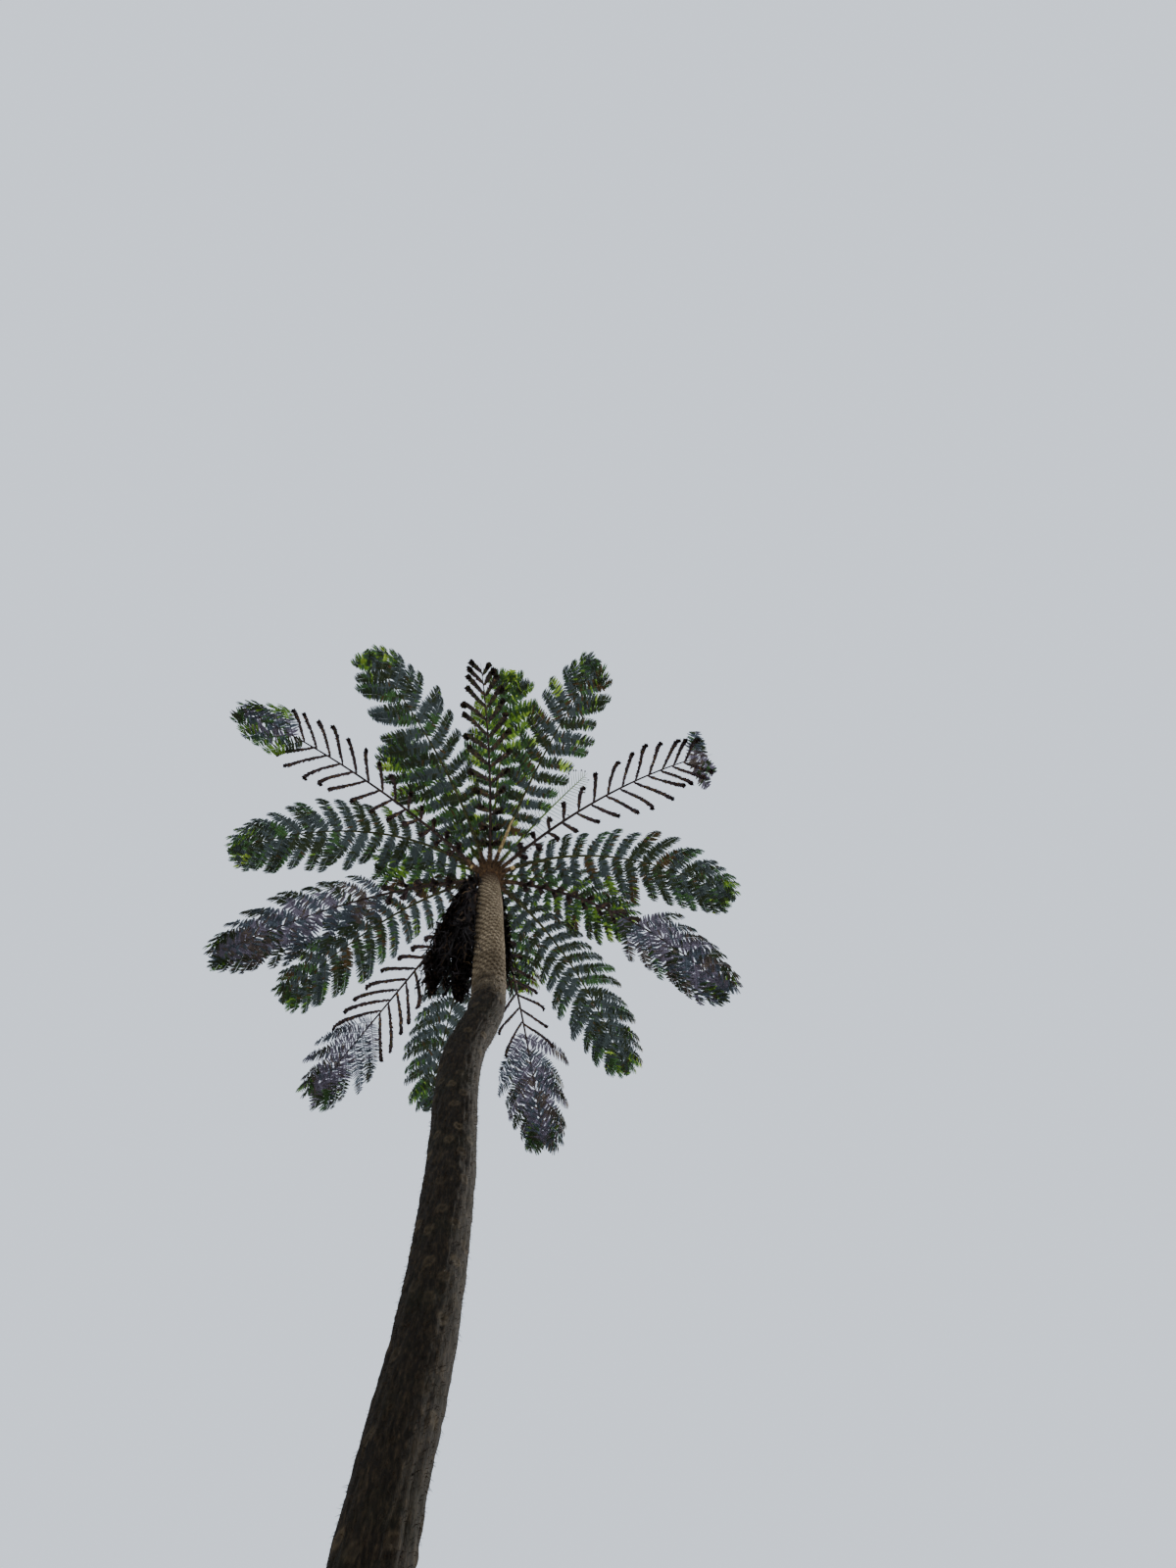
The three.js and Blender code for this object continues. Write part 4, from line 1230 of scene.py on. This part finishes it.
UNFURLING_LENGTH = 0.20
UNFURLING_HABIT = (0.2, 0, 0)
UNFURLING_SPACING = 0.055
THREAD_STEPS = 8
THREAD_RADII = (0.0045, 0.0023)
COILED_SHARE = 0.6
COIL_STEPS = 18
COIL_TURNS = 1.7
COIL_RADII = (0.010, 0.0028)
COIL_THICKNESS = 0.0032
THREAD_SIDES = 4

dice = np.random.default_rng(51)
unfurling = group_of("unfurling")[0]
stand = pairs_along(unfurling, UNFURLING_SPACING, dice)
lines, _ = pinnae_of(unfurling, stand, UNFURLING_LENGTH, UNFURLING_HABIT, dice, steps=THREAD_STEPS)
threads = tapered(lines, THREAD_RADII, THREAD_SIDES)
last_point, last_way, last_across = [rows[:, -1:] for rows in lines]
inwards = np.cross(last_way, last_across)
inwards = inwards * np.sign(-np.sum(inwards * UP, axis=-1, keepdims=True))
turn = np.linspace(0, 2 * np.pi * COIL_TURNS, COIL_STEPS + 1)[1:]
coil_radius = between(COIL_RADII, turn / turn[-1])
coils = last_point + (coil_radius * np.sin(turn))[None, :, None] * last_way
coils = coils + (COIL_RADII[0] - coil_radius * np.cos(turn))[None, :, None] * inwards
coiled = dice.random(len(coils)) < COILED_SHARE
coil_radii = np.full((coiled.sum(), COIL_STEPS), COIL_THICKNESS)
coil_tubes = tubes(coils[coiled], coil_radii, last_across[coiled], THREAD_SIDES)
thread_parts = [(*threads, np.zeros(len(threads[1]), int)), (*coil_tubes, np.ones(len(coil_tubes[1]), int))]
thread_finishes = [
    plain_finish("pale_thread", (132, 146, 118), 0.6), plain_finish("dark_coil", (64, 48, 34), 0.8),
]
add_joined("unfurling_threads", thread_parts, thread_finishes)
stem_finishes = [scaly_stipe, rachis_finishes["young"]]
unfurling_stem = add_joined("unfurling_stem", [stem_of(unfurling, 1)], stem_finishes, smooth=True)
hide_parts("unfurling_frond")


# Two stipes have broken off short. Each is a stout brown stump with a pale torn end, left on the head.

STUB_ROWS = [
    ("broken_stipe_1", "dead", 206, 6, 20, 0, 0.09, 1, 1),
    ("broken_stipe_2", "dead", 322, -8, 30, 0, 0.15, 1, 1),
]
STUB_STEPS = 14
STUB_SIDES = 12
STUB_TAPER = (1.25, 0.95)

stub_parts = []
for row in STUB_ROWS:
    stub = grown(row, 1)
    path = from_within(stub, np.linspace(0, 1, STUB_STEPS))
    radius = STIPE_RADIUS * between(STUB_TAPER, np.linspace(0, 1, STUB_STEPS + 1))
    stub_points, stub_faces = tubes(path[None], radius[None], stub["left"], STUB_SIDES)
    torn = (stub_faces // STUB_SIDES).max(axis=1) >= STUB_STEPS - 1
    stub_parts.append((stub_points, stub_faces, torn.astype(int)))
stubs = add_joined("stipe_stumps", stub_parts, [scaly_stipe, tan_rachis], smooth=True)
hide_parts(*[row[0] for row in STUB_ROWS])


# The stipes' feet carry the same golden brown scales as the head, thinning out along the first stretch.

SCALES_PER_STIPE = 260
SCALED_STRETCH = 0.16
SCALES_THIN_OUT = 1.8
STIPE_SCALE_LENGTHS = (0.014, 0.044)
STIPE_SCALE_THICKNESS = 0.0017
STIPE_SCALE_DROOP = 0.15
STIPE_SCALE_SPREAD = 0.5
# The scales start this share of the stipe's radius out, and lean forward along it
SCALES_OUT = 0.93
SCALE_LEAN_OUT = 0.9
STIPE_SCALE_WEIGHTS = (1, 1.6)

dice = np.random.default_rng(61)
stipe_roots, stipe_ways = [], []
for frond in fronds:
    share = SCALED_STRETCH * dice.random(SCALES_PER_STIPE) ** SCALES_THIN_OUT
    way = direction(frond, share)
    turn = 2 * np.pi * dice.random(SCALES_PER_STIPE)[:, None]
    off = towards(turn, frond["left"], np.cross(way, frond["left"]))
    radius = STIPE_RADIUS * SCALES_OUT + swelling(share)
    stipe_roots.append(place(frond, share) + radius[:, None] * off)
    stipe_ways.append(unit(off * SCALE_LEAN_OUT + way + wobble(dice, way.shape, STIPE_SCALE_SPREAD)))
stipe_roots, stipe_ways = np.vstack(stipe_roots), np.vstack(stipe_ways)
scale_lengths = between(STIPE_SCALE_LENGTHS, dice.random(len(stipe_roots)))
scale_points, scale_faces = thorns(
    stipe_roots, stipe_ways, scale_lengths, STIPE_SCALE_THICKNESS, STIPE_SCALE_DROOP
)
scale_index = np.repeat(dealt(STIPE_SCALE_WEIGHTS, len(stipe_roots), dice), len(thorn_faces))
add_piece("stipe_scales", scale_points, scale_faces, scale_finishes, scale_index)


# The studio: a plain pale floor and backdrop, one soft sun through the crown, and the camera at the
# photograph's place, low beside the foot and looking almost straight up.

FLOOR_HALF = 40
CAMERA_PLACE = (0, -2.3057, 1.5)
CAMERA_RIGHT = (0.98381, -0.17512, -0.03821)
CAMERA_UP = (-0.16840, -0.97607, 0.13757)
CAMERA_AHEAD = (0.06139, 0.12891, 0.98975)
LENS = 29.14
SUN_TOWARDS = (-0.55, -0.12, -0.82)


def set_up(item, right, up, back, at=(0, 0, 0)):
    """Puts a lamp or a camera in the scene at a place, with its three axes along these ways."""
    axes = np.eye(4)
    axes[:3] = np.stack([right, up, back, at], axis=-1)
    item.matrix_world = Matrix(axes.tolist())
    bpy.context.scene.collection.objects.link(item)


floor_material, _, floor_shader = new_finish("pale_floor", 0.9)
floor_shader.inputs["Base Color"].default_value = srgb(214, 212, 206)
corners = FLOOR_HALF * np.array([(-1, -1, 0), (1, -1, 0), (1, 1, 0), (-1, 1, 0)])
floor_mesh = bpy.data.meshes.new("floor")
floor_mesh.from_pydata(corners.tolist(), [], [(0, 1, 2, 3)])
floor_mesh.materials.append(floor_material)
floor = bpy.data.objects.new("floor", floor_mesh)
floor.location.z = -0.001
bpy.context.scene.collection.objects.link(floor)

world = bpy.data.worlds.new("studio")
world.use_nodes = True
world.node_tree.nodes["Background"].inputs["Color"].default_value = (0.78, 0.86, 0.98, 1)
world.node_tree.nodes["Background"].inputs["Strength"].default_value = 1.25
bpy.context.scene.world = world

sun_data = bpy.data.lights.new("sun", "SUN")
sun_data.energy = 4.6
sun_data.angle = 0.12
sun_data.color = (1.0, 0.95, 0.86)
sun_back = -unit(np.array(SUN_TOWARDS))
sun_right = unit(np.cross((0, 1, 0), sun_back))
set_up(bpy.data.objects.new("sun", sun_data), sun_right, np.cross(sun_back, sun_right), sun_back)

camera_data = bpy.data.cameras.new("camera")
camera_data.sensor_width = 36
camera_data.lens = LENS
camera_data.clip_end = 200
camera = bpy.data.objects.new("camera", camera_data)
set_up(camera, CAMERA_RIGHT, CAMERA_UP, np.negative(CAMERA_AHEAD), CAMERA_PLACE)
bpy.context.scene.camera = camera
